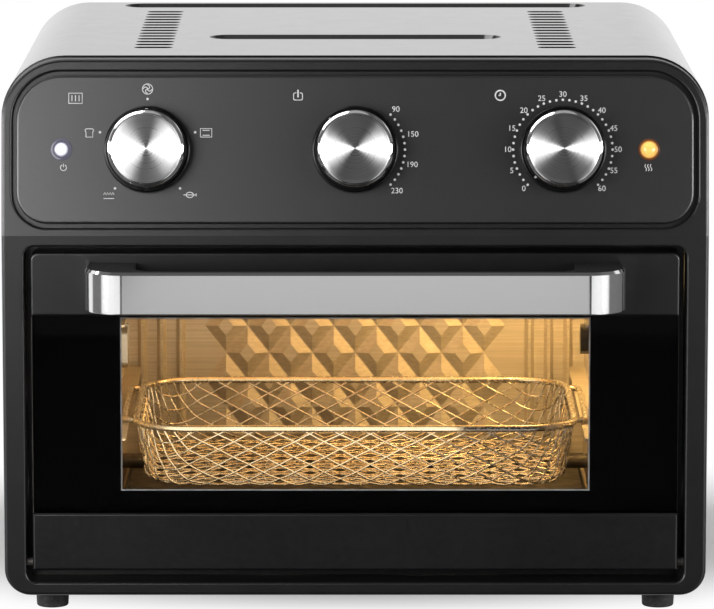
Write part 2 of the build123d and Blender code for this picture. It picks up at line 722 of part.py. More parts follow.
# Rotary switch that selects the cooking function
switch_bush, switch_bore = bush_and_bore(CONTROL_X["function"])
with BuildPart() as function_switch:
    with BuildSketch(panel_plane(CONTROL_X["function"], MODULE_OUT)) as switch_case:
        RectangleRounded(SWITCH_SIDE, SWITCH_SIDE, SWITCH_CORNER)
    extrude(amount=-SWITCH_DEEP)
    with BuildSketch(panel_plane(CONTROL_X["function"], MODULE_OUT - SWITCH_DEEP)) as switch_tabs:
        with PolarLocations(TAB_CIRCLE, TAB_COUNT):
            Rectangle(SHEET, TAB_WIDE)
    extrude(amount=-TAB_LONG)
    add(switch_bush)
    add(switch_bore, mode=Mode.SUBTRACT)
save(function_switch, "function_switch")

# Capillary thermostat
thermostat_bush, thermostat_bore = bush_and_bore(CONTROL_X["temperature"])
with BuildPart() as thermostat:
    with BuildSketch(panel_plane(CONTROL_X["temperature"], MODULE_OUT)) as thermostat_case:
        RectangleRounded(THERMOSTAT_WIDE, THERMOSTAT_TALL, THERMOSTAT_CORNER)
    extrude(amount=-THERMOSTAT_DEEP)
    with BuildSketch(panel_plane(CONTROL_X["temperature"], MODULE_OUT - THERMOSTAT_DEEP)) as thermostat_cell:
        Circle(CELL_RADIUS)
    extrude(amount=-CELL_DEEP)
    add(thermostat_bush)
    add(thermostat_bore, mode=Mode.SUBTRACT)
save(thermostat, "thermostat")

# Clockwork timer with its bell at the back
timer_bush, timer_bore = bush_and_bore(CONTROL_X["timer"])
with BuildPart() as timer:
    with BuildSketch(panel_plane(CONTROL_X["timer"], MODULE_OUT)) as timer_case:
        Circle(TIMER_RADIUS)
    extrude(amount=-TIMER_DEEP)
    with BuildSketch(panel_plane(CONTROL_X["timer"], MODULE_OUT - TIMER_DEEP)) as bell_post:
        Circle(BELL_POST)
    extrude(amount=-(BELL_GAP + SHEET))
    with BuildSketch(panel_plane(CONTROL_X["timer"], MODULE_OUT - TIMER_DEEP - BELL_GAP)) as bell:
        Circle(BELL_RADIUS)
    extrude(amount=-BELL_DEEP, taper=BELL_TAPER)
    add(timer_bush)
    add(timer_bore, mode=Mode.SUBTRACT)
save(timer, "timer")

for lamp_name, lamp_x in (("power_lamp", -LAMP_X), ("heating_lamp", LAMP_X)):
    with BuildPart() as lamp:
        with BuildSketch(panel_plane(lamp_x, PANEL_FACE)) as lamp_flange:
            Circle(LAMP_RADIUS)
        extrude(amount=LAMP_FLANGE)
        with BuildSketch(panel_plane(lamp_x, PANEL_FACE + LAMP_FLANGE)) as lamp_lens:
            Circle(LAMP_RADIUS - LENS_STEP)
        extrude(amount=LENS_TALL, taper=LENS_TAPER)
        with BuildSketch(panel_plane(lamp_x, PANEL_FACE)) as lamp_stem:
            Circle(STEM_RADIUS)
        extrude(amount=-STEM_LONG)
    save(lamp, lamp_name)

# Cavity, as flat liner panels


def side_liner(x, round_holes):
    """Side panel of the cavity whose inner face is at x; holes are (y, z, radius)."""
    outward = LINER if x > 0 else -LINER
    with BuildPart() as liner:
        with BuildSketch(side_plane(x)) as liner_outline:
            with Locations((CAVITY_MID_Y, CAVITY_MID_Z)):
                Rectangle(CAVITY_BACK_Y - CAVITY_FRONT_Y, CAVITY_HIGH - CAVITY_LOW + 2 * LINER)
            for y, z, radius in round_holes:
                with Locations((y, z)):
                    Circle(radius, mode=Mode.SUBTRACT)
        extrude(amount=outward)
    return liner


heater_holes = [(y, z, HEATER_HOLE) for y, z in HEATER_PLACES]
cavity_left_wall = side_liner(-CAVITY_HALF, heater_holes)
save(cavity_left_wall, "cavity_left_wall")
socket_hole = (CAVITY_MID_Y, SOCKET_Z, SOCKET_HOLE)
lamp_hole = (*OVEN_LAMP, OVEN_LAMP_HOLE)
cavity_right_wall = side_liner(CAVITY_HALF, [*heater_holes, socket_hole, lamp_hole])
save(cavity_right_wall, "cavity_right_wall")

with BuildPart() as cavity_ceiling:
    with BuildSketch(Plane.XY.offset(CAVITY_HIGH)) as ceiling_outline:
        with Locations((0, CAVITY_MID_Y)):
            Rectangle(2 * CAVITY_HALF, CAVITY_BACK_Y - CAVITY_FRONT_Y)
            Circle(FAN_HOLE, mode=Mode.SUBTRACT)
    extrude(amount=LINER)
save(cavity_ceiling, "cavity_ceiling")

with BuildPart() as cavity_floor:
    with BuildSketch(Plane.XY.offset(CAVITY_LOW)) as floor_outline:
        with Locations((0, CAVITY_MID_Y)):
            Rectangle(2 * CAVITY_HALF, CAVITY_BACK_Y - CAVITY_FRONT_Y)
    extrude(amount=-LINER)
save(cavity_floor, "cavity_floor")


def diamond_centres():
    """Centres of two interleaved grids of diamonds, which together tile the wall."""
    centres = []
    for columns, rows in ((DIAMOND_COLUMNS, DIAMOND_ROWS), (DIAMOND_COLUMNS - 1, DIAMOND_ROWS - 1)):
        for column in range(columns):
            for row in range(rows):
                x = (column - (columns - 1) / 2) * DIAMOND_WIDE
                z = (row - (rows - 1) / 2) * DIAMOND_TALL
                centres.append((x, CAVITY_MID_Z + z))
    return centres


# Back wall, pressed with rows of diamonds that stand into the cavity
with BuildPart() as cavity_back:
    extrude(
        upright_rectangle(CAVITY_BACK_Y, CAVITY_HALF + LINER, CAVITY_LOW - LINER, CAVITY_HIGH + LINER),
        amount=-LINER,
    )
    half_wide = DIAMOND_FILL * DIAMOND_WIDE / 2
    half_tall = DIAMOND_FILL * DIAMOND_TALL / 2
    with BuildSketch(front_plane(CAVITY_BACK_Y)) as diamonds:
        with Locations(*diamond_centres()):
            Polygon((half_wide, 0), (0, half_tall), (-half_wide, 0), (0, -half_tall))
    extrude(amount=DIAMOND_DEEP, taper=DIAMOND_TAPER)
    with BuildSketch(front_plane(CAVITY_BACK_Y)) as beads:
        with Locations(*[(side * x, CAVITY_MID_Z) for x in BEAD_X for side in (-1, 1)]):
            SlotOverall(DIAMOND_ROWS * DIAMOND_TALL, BEAD_WIDE, rotation=90)
    extrude(amount=DIAMOND_DEEP, taper=BEAD_TAPER)
save(cavity_back, "cavity_back")

# Frame that joins the liner to the bezel; its lip hangs below the ceiling, behind the door's top
with BuildPart() as cavity_front_frame:
    extrude(
        upright_rectangle(
            CAVITY_FRONT_Y,
            OPENING_HALF - FRAME_GAP,
            OPENING_LOW + FRAME_GAP,
            OPENING_HIGH - FRAME_GAP,
            OPENING_RADIUS,
        ),
        amount=SHEET,
    )
    extrude(
        upright_rectangle(CAVITY_FRONT_Y, CAVITY_HALF, CAVITY_LOW, CAVITY_HIGH - FRAME_LIP, FRAME_CORNER),
        amount=SHEET,
        mode=Mode.SUBTRACT,
    )
save(cavity_front_frame, "cavity_front_frame")

# Ledges on the side walls at two heights; the upper ones end in front of the oven lamp
with BuildPart() as rack_guides:
    for guide_top, guide_back in zip(GUIDE_TOPS, GUIDE_BACKS_Y):
        with BuildSketch(Plane.XY.offset(guide_top)) as ledges:
            for x in (-CAVITY_HALF + GUIDE_REACH / 2, CAVITY_HALF - GUIDE_REACH / 2):
                with Locations((x, (GUIDE_FRONT_Y + guide_back) / 2)):
                    Rectangle(GUIDE_REACH, guide_back - GUIDE_FRONT_Y)
        extrude(amount=-GUIDE_THICK)
save(rack_guides, "rack_guides")

# Heating rods, front and back, above and below
for heater_name, heater_z in (("upper_heaters", UPPER_HEATER_Z), ("lower_heaters", LOWER_HEATER_Z)):
    with BuildPart() as heaters:
        with BuildSketch(side_plane(-HEATER_HALF)) as rods:
            with Locations(*[(y, heater_z) for y in HEATER_Y]):
                Circle(HEATER_RADIUS)
        extrude(amount=2 * HEATER_HALF)
    save(heaters, heater_name)

# Ceramic holders on the outside of the side walls
with BuildPart() as heater_insulators:
    for side in (-1, 1):
        with BuildSketch(side_plane(side * (CAVITY_HALF + LINER))) as insulator_rings:
            with Locations(*HEATER_PLACES):
                Circle(INSULATOR_RADIUS)
                Circle(HEATER_RADIUS + DROP_IN, mode=Mode.SUBTRACT)
        extrude(amount=side * INSULATOR_LONG)
save(heater_insulators, "heater_insulators")

# Hot-air fan over the cavity, cooled motor above it

with BuildPart() as fan_housing:
    with BuildSketch(fan_plane(DRUM_LOW)) as drum:
        Circle(DRUM_RADIUS)
    extrude(amount=DRUM_TALL)
    with BuildSketch(fan_plane(DRUM_LOW)) as drum_inside:
        Circle(DRUM_RADIUS - SHEET)
    extrude(amount=DRUM_TALL - SHEET, mode=Mode.SUBTRACT)
    with BuildSketch(fan_plane(DRUM_LOW)) as drum_hole:
        Circle(SHAFT_HOLE)
    extrude(amount=DRUM_TALL, mode=Mode.SUBTRACT)
save(fan_housing, "fan_housing")

# Grille under the fan, with two rings of radial slots
with BuildPart() as fan_guard:
    with BuildSketch(fan_plane(CAVITY_HIGH)) as guard_outline:
        Circle(GUARD_RADIUS)
        for ring, count, length, width in GUARD_SLOTS:
            with PolarLocations(ring, count):
                SlotOverall(length, width, mode=Mode.SUBTRACT)
    extrude(amount=-SHEET)
save(fan_guard, "fan_guard")


def impeller(low, tall, outer, eye, blades):
    """Radial fan wheel: a disc on top, blades below it and a hub on the shaft."""
    with BuildPart() as wheel:
        with BuildSketch(fan_plane(low + tall)) as disc:
            Circle(outer)
        extrude(amount=-SHEET)
        with BuildSketch(fan_plane(low)) as hub:
            Circle(eye * HUB_SHARE)
        extrude(amount=tall)
        with BuildSketch(fan_plane(low)) as vanes:
            with PolarLocations((outer + eye) / 2, blades):
                Rectangle(outer - eye - 2 * SHEET, BLADE_THICK, rotation=BLADE_SWEEP)
        extrude(amount=tall)
        with BuildSketch(fan_plane(low)) as bore:
            Circle(SHAFT_RADIUS + SHAFT_FIT)
        extrude(amount=tall, mode=Mode.SUBTRACT)
    return wheel


fan_impeller = impeller(FAN_LOW, FAN_TALL, FAN_RADIUS, FAN_EYE, FAN_BLADES)
save(fan_impeller, "fan_impeller")
cooling_impeller = impeller(COOLING_LOW, COOLING_TALL, COOLING_RADIUS, COOLING_EYE, COOLING_BLADES)
save(cooling_impeller, "cooling_impeller")

with BuildPart() as fan_shaft:
    with BuildSketch(fan_plane(FAN_SHAFT_LOW)) as fan_bar:
        Circle(SHAFT_RADIUS)
    extrude(amount=FAN_SHAFT_TOP - FAN_SHAFT_LOW)
save(fan_shaft, "fan_shaft")

with BuildPart() as motor_bracket:
    with BuildSketch(fan_plane(MOTOR_LOW)) as bridge:
        Rectangle(2 * BRIDGE_HALF, BRIDGE_WIDE)
        Circle(SHAFT_HOLE, mode=Mode.SUBTRACT)
    extrude(amount=-MOTOR_PLATE)
    with BuildSketch(fan_plane(MOTOR_LOW - MOTOR_PLATE)) as bridge_legs:
        with Locations((-BRIDGE_HALF + MOTOR_PLATE / 2, 0), (BRIDGE_HALF - MOTOR_PLATE / 2, 0)):
            Rectangle(MOTOR_PLATE, BRIDGE_WIDE)
    extrude(amount=-(MOTOR_LOW - MOTOR_PLATE - DRUM_LOW))
save(motor_bracket, "motor_bracket")

with BuildPart() as fan_motor:
    with BuildSketch(fan_plane(MOTOR_LOW)) as stator:
        RectangleRounded(STATOR_LONG, STATOR_WIDE, STATOR_CORNER)
    extrude(amount=STATOR_TALL)
    with BuildSketch(fan_plane(MOTOR_LOW + STATOR_TALL)) as end_bell:
        Circle(END_BELL_RADIUS)
    extrude(amount=END_BELL_TALL, taper=END_BELL_TAPER)
    with BuildSketch(fan_plane(MOTOR_LOW)) as motor_bore:
        Circle(SHAFT_RADIUS + RUNNING_GAP)
    extrude(amount=FAN_SHAFT_TOP - MOTOR_LOW + PAST, mode=Mode.SUBTRACT)
save(fan_motor, "fan_motor")

# Rotisserie drive on the right wall and the rest on the left wall

SPIT = (CAVITY_MID_Y, SOCKET_Z)

with BuildPart() as spit_socket:
    with BuildSketch(side_plane(CAVITY_HALF - SOCKET_IN)) as socket_hub:
        with Locations(SPIT):
            Circle(SOCKET_RADIUS)
    extrude(amount=SOCKET_END - CAVITY_HALF + SOCKET_IN)
    with BuildSketch(side_plane(SOCKET_END)) as socket_stub:
        with Locations(SPIT):
            Circle(STUB_RADIUS)
    extrude(amount=STUB_LONG)
    with BuildSketch(side_plane(CAVITY_HALF - SOCKET_IN)) as socket_square:
        with Locations(SPIT):
            Rectangle(SPIT_SQUARE, SPIT_SQUARE)
    extrude(amount=SOCKET_DEEP, mode=Mode.SUBTRACT)
save(spit_socket, "spit_socket")

with BuildPart() as spit_motor:
    with BuildSketch(side_plane(SPIT_MOTOR_X)) as gearbox:
        with Locations(SPIT):
            Circle(GEARBOX_RADIUS)
    extrude(amount=GEARBOX_DEEP)
    with BuildSketch(side_plane(SPIT_MOTOR_X + GEARBOX_DEEP)) as spit_stator:
        with Locations(SPIT):
            Circle(SPIT_STATOR_RADIUS)
    extrude(amount=SPIT_STATOR_DEEP)
    with BuildSketch(side_plane(SPIT_MOTOR_X)) as spit_bore:
        with Locations(SPIT):
            Circle(STUB_RADIUS + RUNNING_GAP)
    extrude(amount=STUB_LONG, mode=Mode.SUBTRACT)
save(spit_motor, "spit_motor")

# Rest for the other end of a spit: a block with a round-bottomed notch, open at the top
with BuildPart() as spit_rest:
    with BuildSketch(side_plane(-CAVITY_HALF)) as rest_outline:
        with Locations((CAVITY_MID_Y, SOCKET_Z - REST_DROP)):
            RectangleRounded(REST_WIDE, REST_TALL, REST_CORNER)
        with Locations(SPIT):
            Circle(NOTCH_RADIUS, mode=Mode.SUBTRACT)
        with Locations((CAVITY_MID_Y, SOCKET_Z + NOTCH_TALL / 2)):
            Rectangle(2 * NOTCH_RADIUS, NOTCH_TALL, mode=Mode.SUBTRACT)
    extrude(amount=REST_DEEP)
save(spit_rest, "spit_rest")

# Oven lamp behind a glass cover in the right wall

with BuildPart() as lamp_cover:
    with BuildSketch(side_plane(CAVITY_HALF)) as cover_disc:
        with Locations(OVEN_LAMP):
            Circle(COVER_RADIUS)
    extrude(amount=-COVER_DEEP, taper=COVER_TAPER)
    fillet(lamp_cover.faces().group_by(Axis.X)[0].edges(), COVER_EDGE)
    with BuildSketch(side_plane(CAVITY_HALF)) as cover_hollow:
        with Locations(OVEN_LAMP):
            Circle(COVER_RADIUS - COVER_RIM)
    extrude(amount=-COVER_HOLLOW, mode=Mode.SUBTRACT)
save(lamp_cover, "lamp_cover")

with BuildPart() as lamp_bulb:
    with Locations((BULB_X, *OVEN_LAMP)):
        Sphere(BULB_RADIUS, rotation=(0, 0, 90))
    with BuildSketch(side_plane(BULB_X)) as bulb_neck:
        with Locations(OVEN_LAMP):
            Circle(BULB_NECK)
    extrude(amount=BULB_NECK_LONG)
save(lamp_bulb, "lamp_bulb")

with BuildPart() as lamp_socket:
    with BuildSketch(side_plane(CUP_X)) as socket_cup:
        with Locations(OVEN_LAMP):
            Circle(CUP_RADIUS)
            Circle(BULB_NECK + DROP_IN, mode=Mode.SUBTRACT)
    extrude(amount=CUP_DEEP)
    with BuildSketch(side_plane(CUP_X + CUP_DEEP)) as socket_end:
        with Locations(OVEN_LAMP):
            Circle(CUP_RADIUS)
    extrude(amount=CUP_BASE)
save(lamp_socket, "lamp_socket")

# Door

# Top rail: a pressed channel, open at the back and towards the glass
with BuildPart() as door_top_rail:
    extrude(upright_rectangle(RAIL_BACK_Y, DOOR_HALF, TOP_RAIL_LOW, DOOR_HIGH), amount=RAIL_DEPTH)
    fillet(door_top_rail.edges().filter_by(Axis.Y).group_by(Axis.Z)[-1], RAIL_RADIUS)
    fillet(door_top_rail.faces().sort_by(Axis.Y)[0].edges(), RAIL_EDGE)
    extrude(
        upright_rectangle(
            RAIL_BACK_Y,
            DOOR_HALF - RAIL_WALL,
            TOP_RAIL_LOW - PAST,
            DOOR_HIGH - RAIL_WALL,
            RAIL_RADIUS - RAIL_WALL,
        ),
        amount=RAIL_DEPTH - RAIL_WALL,
        mode=Mode.SUBTRACT,
    )
    extrude(
        upright_rectangle(RAIL_BACK_Y, DOOR_HALF + PAST, TOP_RAIL_LOW - PAST, GLASS_HIGH + GLASS_SPARE),
        amount=RAIL_DEPTH - RAIL_WALL,
        mode=Mode.SUBTRACT,
    )
    with BuildSketch(front_plane(DOOR_FACE_Y)) as handle_holes:
        with Locations(*HANDLE_SCREWS):
            Circle(HANDLE_SCREW_RADIUS + HANDLE_SCREW_GAP)
    extrude(amount=-2 * RAIL_WALL, mode=Mode.SUBTRACT)
save(door_top_rail, "door_top_rail")

with BuildPart() as door_bottom_rail:
    extrude(upright_rectangle(RAIL_BACK_Y, DOOR_HALF, DOOR_LOW, LOW_RAIL_HIGH), amount=RAIL_DEPTH)
    fillet(door_bottom_rail.faces().sort_by(Axis.Y)[0].edges(), RAIL_EDGE)
    extrude(
        upright_rectangle(RAIL_BACK_Y, DOOR_HALF - RAIL_WALL, DOOR_LOW + RAIL_WALL, LOW_RAIL_HIGH + PAST),
        amount=RAIL_DEPTH - RAIL_WALL,
        mode=Mode.SUBTRACT,
    )
    extrude(
        upright_rectangle(RAIL_BACK_Y, DOOR_HALF + PAST, GLASS_LOW - GLASS_SPARE, LOW_RAIL_HIGH + PAST),
        amount=RAIL_DEPTH - RAIL_WALL,
        mode=Mode.SUBTRACT,
    )
    with BuildSketch(side_plane(-DOOR_HALF)) as rail_pin_holes:
        with Locations(HINGE):
            Circle(PIN_RADIUS + SHAFT_FIT)
    extrude(amount=2 * DOOR_HALF, mode=Mode.SUBTRACT)
save(door_bottom_rail, "door_bottom_rail")

with BuildPart() as door_glass:
    extrude(
        upright_rectangle(GLASS_Y + GLASS_THICK, GLASS_HALF, GLASS_LOW, GLASS_HIGH),
        amount=GLASS_THICK,
    )
save(door_glass, "door_glass")

# Pressed steel pan that closes the back of the door, drawn forward round the window
with BuildPart() as door_inner_pan:
    extrude(
        upright_rectangle(
            DOOR_BACK_Y,
            DOOR_HALF - PAN_MARGIN,
            DOOR_LOW + PAN_MARGIN,
            DOOR_HIGH - PAN_MARGIN,
            RAIL_RADIUS,
        ),
        amount=SHEET,
    )
    extrude(
        upright_rectangle(
            DOOR_BACK_Y,
            WINDOW_HALF + SHEET,
            WINDOW_LOW - SHEET,
            WINDOW_HIGH + SHEET,
            WINDOW_RADIUS + SHEET,
        ),
        amount=DOOR_BACK_Y - GLASS_Y - GLASS_THICK,
    )
    extrude(
        upright_rectangle(DOOR_BACK_Y, WINDOW_HALF, WINDOW_LOW, WINDOW_HIGH, WINDOW_RADIUS),
        amount=DOOR_BACK_Y - GLASS_Y - GLASS_THICK,
        mode=Mode.SUBTRACT,
    )
save(door_inner_pan, "door_inner_pan")


def handle_outline(z, half, front_y, bend, foot_y):
    """Plan of the handle: square to the door at each end, rounded into a straight bar."""
    with BuildSketch(Plane.XY.offset(z)) as outline:
        with Locations((0, (front_y + foot_y) / 2)):
            Rectangle(2 * half, foot_y - front_y)
        fillet(outline.vertices().group_by(Axis.Y)[0], bend)
    return outline.sketch


with BuildPart() as handle_strip:
    extrude(
        handle_outline(HANDLE_LOW, HANDLE_HALF, HANDLE_FRONT_Y, HANDLE_BEND, DOOR_FACE_Y),
        amount=HANDLE_TALL,
    )
    # The upper front edge is bevelled, all but the side against the door
    strip_top = handle_strip.faces().sort_by(Axis.Z)[-1]
    bevelled = strip_top.edges().sort_by(Axis.Y)[:-1]
    chamfer(bevelled, STRIP_BEVEL_DEEP, STRIP_BEVEL_TALL, reference=strip_top)
    extrude(
        handle_outline(
            HANDLE_LOW,
            HANDLE_HALF - STRIP_THICK,
            HANDLE_FRONT_Y + STRIP_THICK,
            HANDLE_BEND - STRIP_THICK,
            DOOR_FACE_Y,
        ),
        amount=HANDLE_TALL,
        mode=Mode.SUBTRACT,
    )
save(handle_strip, "handle_strip")

with BuildPart() as handle_core:
    extrude(
        handle_outline(
            HANDLE_LOW + CORE_INSET,
            HANDLE_HALF - STRIP_THICK,
            HANDLE_FRONT_Y + STRIP_THICK,
            HANDLE_BEND - STRIP_THICK,
            DOOR_FACE_Y,
        ),
        amount=HANDLE_TALL - 2 * CORE_INSET,
    )
    extrude(
        handle_outline(
            HANDLE_LOW,
            HANDLE_HALF - STRIP_THICK - CORE_FOOT,
            HANDLE_FRONT_Y + STRIP_THICK + CORE_THICK,
            CORE_BEND,
            DOOR_FACE_Y,
        ),
        amount=HANDLE_TALL,
        mode=Mode.SUBTRACT,
    )
    with BuildSketch(front_plane(DOOR_FACE_Y)) as core_holes:
        with Locations(*HANDLE_SCREWS):
            Circle(HANDLE_SCREW_RADIUS + SHAFT_FIT)
    extrude(amount=CORE_HOLE, mode=Mode.SUBTRACT)
save(handle_core, "handle_core")

with BuildPart() as handle_screws:
    with BuildSketch(front_plane(DOOR_FACE_Y + RAIL_WALL)) as handle_heads:
        with Locations(*HANDLE_SCREWS):
            Circle(2 * HANDLE_SCREW_RADIUS)
    extrude(amount=-HANDLE_HEAD_TALL)
    with BuildSketch(front_plane(DOOR_FACE_Y + RAIL_WALL)) as handle_shanks:
        with Locations(*HANDLE_SCREWS):
            Circle(HANDLE_SCREW_RADIUS)
    extrude(amount=HANDLE_SHANK)
save(handle_screws, "handle_screws")

# Hinge pins in the door, and the brackets behind the bezel that they turn in

PIN_START = DOOR_HALF - RAIL_WALL - PIN_IN
with BuildPart() as hinge_pins:
    for side in (-1, 1):
        with BuildSketch(side_plane(side * PIN_START)) as pin_round:
            with Locations(HINGE):
                Circle(PIN_RADIUS)
        extrude(amount=side * (HINGE_PLATE_OUT - PIN_SHORT - PIN_START))
save(hinge_pins, "hinge_pins")

with BuildPart() as hinge_brackets:
    for side in (-1, 1):
        with BuildSketch(side_plane(side * (HINGE_PLATE_IN + SPRING_ROOM))) as bracket_side:
            with Locations(HINGE_PLATE_MID):
                RectangleRounded(HINGE_PLATE_LONG, HINGE_PLATE_TALL, HINGE_PLATE_CORNER)
            with Locations(HINGE):
                Circle(PIN_RADIUS + RUNNING_GAP, mode=Mode.SUBTRACT)
        extrude(amount=side * (HINGE_PLATE_OUT - HINGE_PLATE_IN - SPRING_ROOM))
save(hinge_brackets, "hinge_brackets")

# Torsion springs round the pins, each with a peg that catches in its bracket
with BuildPart() as door_springs:
    with BuildLine() as coil:
        Helix(SPRING_PITCH, SPRING_LONG, SPRING_RADIUS, center=(SPRING_X, *HINGE), direction=(1, 0, 0))
    with BuildSketch(Plane(origin=coil.line @ 0, z_dir=coil.line % 0)) as coil_section:
        Circle(SPRING_WIRE)
    sweep(is_frenet=True)
    with BuildSketch(Plane(origin=coil.line @ 1, z_dir=(1, 0, 0))) as peg:
        Circle(SPRING_WIRE)
    extrude(amount=HINGE_PLATE_IN + SPRING_ROOM - SPRING_X - SPRING_LONG)
    mirror(about=Plane.YZ)
save(door_springs, "door_springs")

# Fry basket: a pressed mesh tray hung from a wire rim, with an ear of wire at each side


def basket_body(inset):
    """Solid of the basket's outside, or of its inside when it is inset by the wall."""
    with BuildPart() as body:
        with BuildSketch(Plane.XY.offset(BASKET_RIM_Z)) as mouth:
            with Locations((0, BASKET_MID_Y)):
                RectangleRounded(2 * (BASKET_HALF - inset), BASKET_LONG - 2 * inset, BASKET_CORNER - inset)
        extrude(amount=-(BASKET_TALL - inset), taper=BASKET_TAPER)
        fillet(body.faces().sort_by(Axis.Z)[0].edges(), BASKET_BEND - inset)
    return body.part


basket_outside = basket_body(0)
basket_inside = basket_body(BASKET_WALL)
with BuildPart() as basket_mesh:
    add(basket_outside)
    add(basket_inside, mode=Mode.SUBTRACT)
save(basket_mesh, "basket_mesh")


def ear_path(side):
    """Bends of the wire ear on one side, from the rim out over the guide and back."""
    near_y = BASKET_FRONT_Y + EAR_INSET_Y
    far_y = BASKET_BACK_Y - EAR_INSET_Y
    inner = side * BASKET_HALF
    outer = side * EAR_OUT
    return [(inner, near_y), (outer, near_y), (outer, far_y), (inner, far_y)]


with BuildPart() as basket_rim:
    with BuildLine(Plane.XY.offset(BASKET_RIM_Z)) as rim_path:
        FilletPolyline(
            (-BASKET_HALF, BASKET_FRONT_Y),
            (BASKET_HALF, BASKET_FRONT_Y),
            (BASKET_HALF, BASKET_BACK_Y),
            (-BASKET_HALF, BASKET_BACK_Y),
            radius=BASKET_CORNER,
            close=True,
        )
    with BuildSketch(Plane(origin=rim_path.line @ 0, z_dir=rim_path.line % 0)) as rim_section:
        Circle(BASKET_WIRE)
    sweep()
    for side in (-1, 1):
        with BuildLine(Plane.XY.offset(BASKET_RIM_Z)) as ear_line:
            FilletPolyline(*ear_path(side), radius=EAR_BEND)
        with BuildSketch(Plane(origin=ear_line.line @ 0, z_dir=ear_line.line % 0)) as ear_section:
            Circle(EAR_WIRE)
        sweep()
save(basket_rim, "basket_rim")

# Crumb tray on the cavity floor
with BuildPart() as crumb_tray:
    with BuildSketch(Plane.XY.offset(TRAY_LOW)) as tray_outline:
        with Locations((0, TRAY_MID_Y)):
            RectangleRounded(2 * TRAY_HALF, TRAY_LONG, TRAY_RADIUS)
    extrude(amount=TRAY_TALL)
    with BuildSketch(Plane.XY.offset(TRAY_LOW + LINER)) as tray_inside:
        with Locations((0, TRAY_MID_Y)):
            RectangleRounded(2 * (TRAY_HALF - LINER), TRAY_LONG - 2 * LINER, TRAY_RADIUS - LINER)
    extrude(amount=TRAY_TALL, mode=Mode.SUBTRACT)
save(crumb_tray, "crumb_tray")
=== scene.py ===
# %% [markdown]
# # A countertop air fryer oven
#
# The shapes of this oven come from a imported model: sixty pieces at their real size, already in
# place. This lesson adds what the eye needs: a studio, a finish for every surface, and the few
# pieces whose look is in fine detail, such as the wire mesh of the basket and the spun knob caps.
# Everything is in metres in one frame: +X to the right, +Y to the back, +Z up, worktop at zero.

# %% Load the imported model
import json
from math import atan, ceil, cos, hypot, pi, radians, sin

import bmesh
import bpy
from mathutils import Matrix, Vector


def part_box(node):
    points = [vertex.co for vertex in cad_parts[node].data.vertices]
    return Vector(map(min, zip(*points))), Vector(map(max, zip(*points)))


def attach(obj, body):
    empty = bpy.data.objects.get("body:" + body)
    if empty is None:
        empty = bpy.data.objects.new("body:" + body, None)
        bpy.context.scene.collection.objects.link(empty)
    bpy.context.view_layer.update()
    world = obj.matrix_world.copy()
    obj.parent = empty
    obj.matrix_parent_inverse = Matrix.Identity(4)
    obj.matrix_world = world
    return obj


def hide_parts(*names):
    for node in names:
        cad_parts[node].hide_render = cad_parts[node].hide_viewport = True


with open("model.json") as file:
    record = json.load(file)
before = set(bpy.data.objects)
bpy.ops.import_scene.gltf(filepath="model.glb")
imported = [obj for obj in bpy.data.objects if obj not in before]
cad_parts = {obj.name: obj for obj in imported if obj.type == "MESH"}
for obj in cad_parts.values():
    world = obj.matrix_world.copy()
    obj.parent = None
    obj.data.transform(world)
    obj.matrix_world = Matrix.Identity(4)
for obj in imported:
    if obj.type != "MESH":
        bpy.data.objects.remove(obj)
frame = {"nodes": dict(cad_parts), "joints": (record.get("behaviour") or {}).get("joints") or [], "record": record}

MM = 0.001
nodes = frame["nodes"]
joints = {joint["name"]: joint for joint in frame["joints"]}
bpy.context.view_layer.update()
scene = bpy.context.scene
scene.view_settings.view_transform = "Standard"

# %% [markdown]
# ## The camera
#
# The picture was taken from far away with a long lens, a little above the oven: its sides hardly
# converge. The distance and the pitch were solved from the widths of the roof's front and back
# edges. The lens follows from the focal length in pixels, so the oven fills the frame as it should.

# %% Camera
IMAGE_WIDE = 714
OVEN_MIDDLE_PX = 355.2
FOCAL_PX = 5487
SENSOR_MM = 36.0
CAMERA_PLACE = (0.0, -3.2219, 0.6538)
CAMERA_PITCH = radians(8.8)

camera_data = bpy.data.cameras.new("oven_camera")
camera_data.sensor_width = SENSOR_MM
camera_data.lens = FOCAL_PX * SENSOR_MM / IMAGE_WIDE
camera_data.shift_x = (IMAGE_WIDE / 2 - OVEN_MIDDLE_PX) / IMAGE_WIDE
camera = bpy.data.objects.new("oven_camera", camera_data)
camera.location = CAMERA_PLACE
camera.rotation_euler = (pi / 2 - CAMERA_PITCH, 0, 0)
scene.collection.objects.link(camera)
scene.camera = camera
print(f"lens of {camera_data.lens:.0f} mm, {-CAMERA_PLACE[1]:.2f} m in front of the oven")

# %% [markdown]
# ## Building node trees
#
# The world, every material and every Geometry Nodes tree below are graphs of nodes. They could be
# wired by hand in an editor, but a script gives the same graph on every run. Three helpers keep it
# readable: one adds a node and fills its sockets, one maps a range onto another, and one does
# arithmetic.

# %% Helpers for node trees


def add_node(tree, kind, inputs=None, **settings):
    """Adds a node, sets it up, and fills its sockets with values or joins them to other sockets."""
    node = tree.nodes.new(kind)
    for label, value in settings.items():
        setattr(node, label, value)
    for label, value in (inputs or {}).items():
        if isinstance(value, bpy.types.NodeSocket):
            tree.links.new(value, node.inputs[label])
        else:
            node.inputs[label].default_value = value
    return node


def ramp(tree, value, start, end, low=0.0, high=1.0):
    """Turns a value that runs from start to end into one that runs smoothly from low to high."""
    sockets = {"Value": value, "From Min": start, "From Max": end, "To Min": low, "To Max": high}
    return add_node(tree, "ShaderNodeMapRange", sockets, interpolation_type="SMOOTHSTEP").outputs[0]


def math(tree, operation, *values):
    """A Math node on one or two values."""
    return add_node(tree, "ShaderNodeMath", dict(enumerate(values)), operation=operation).outputs[0]


print("helpers for node trees")

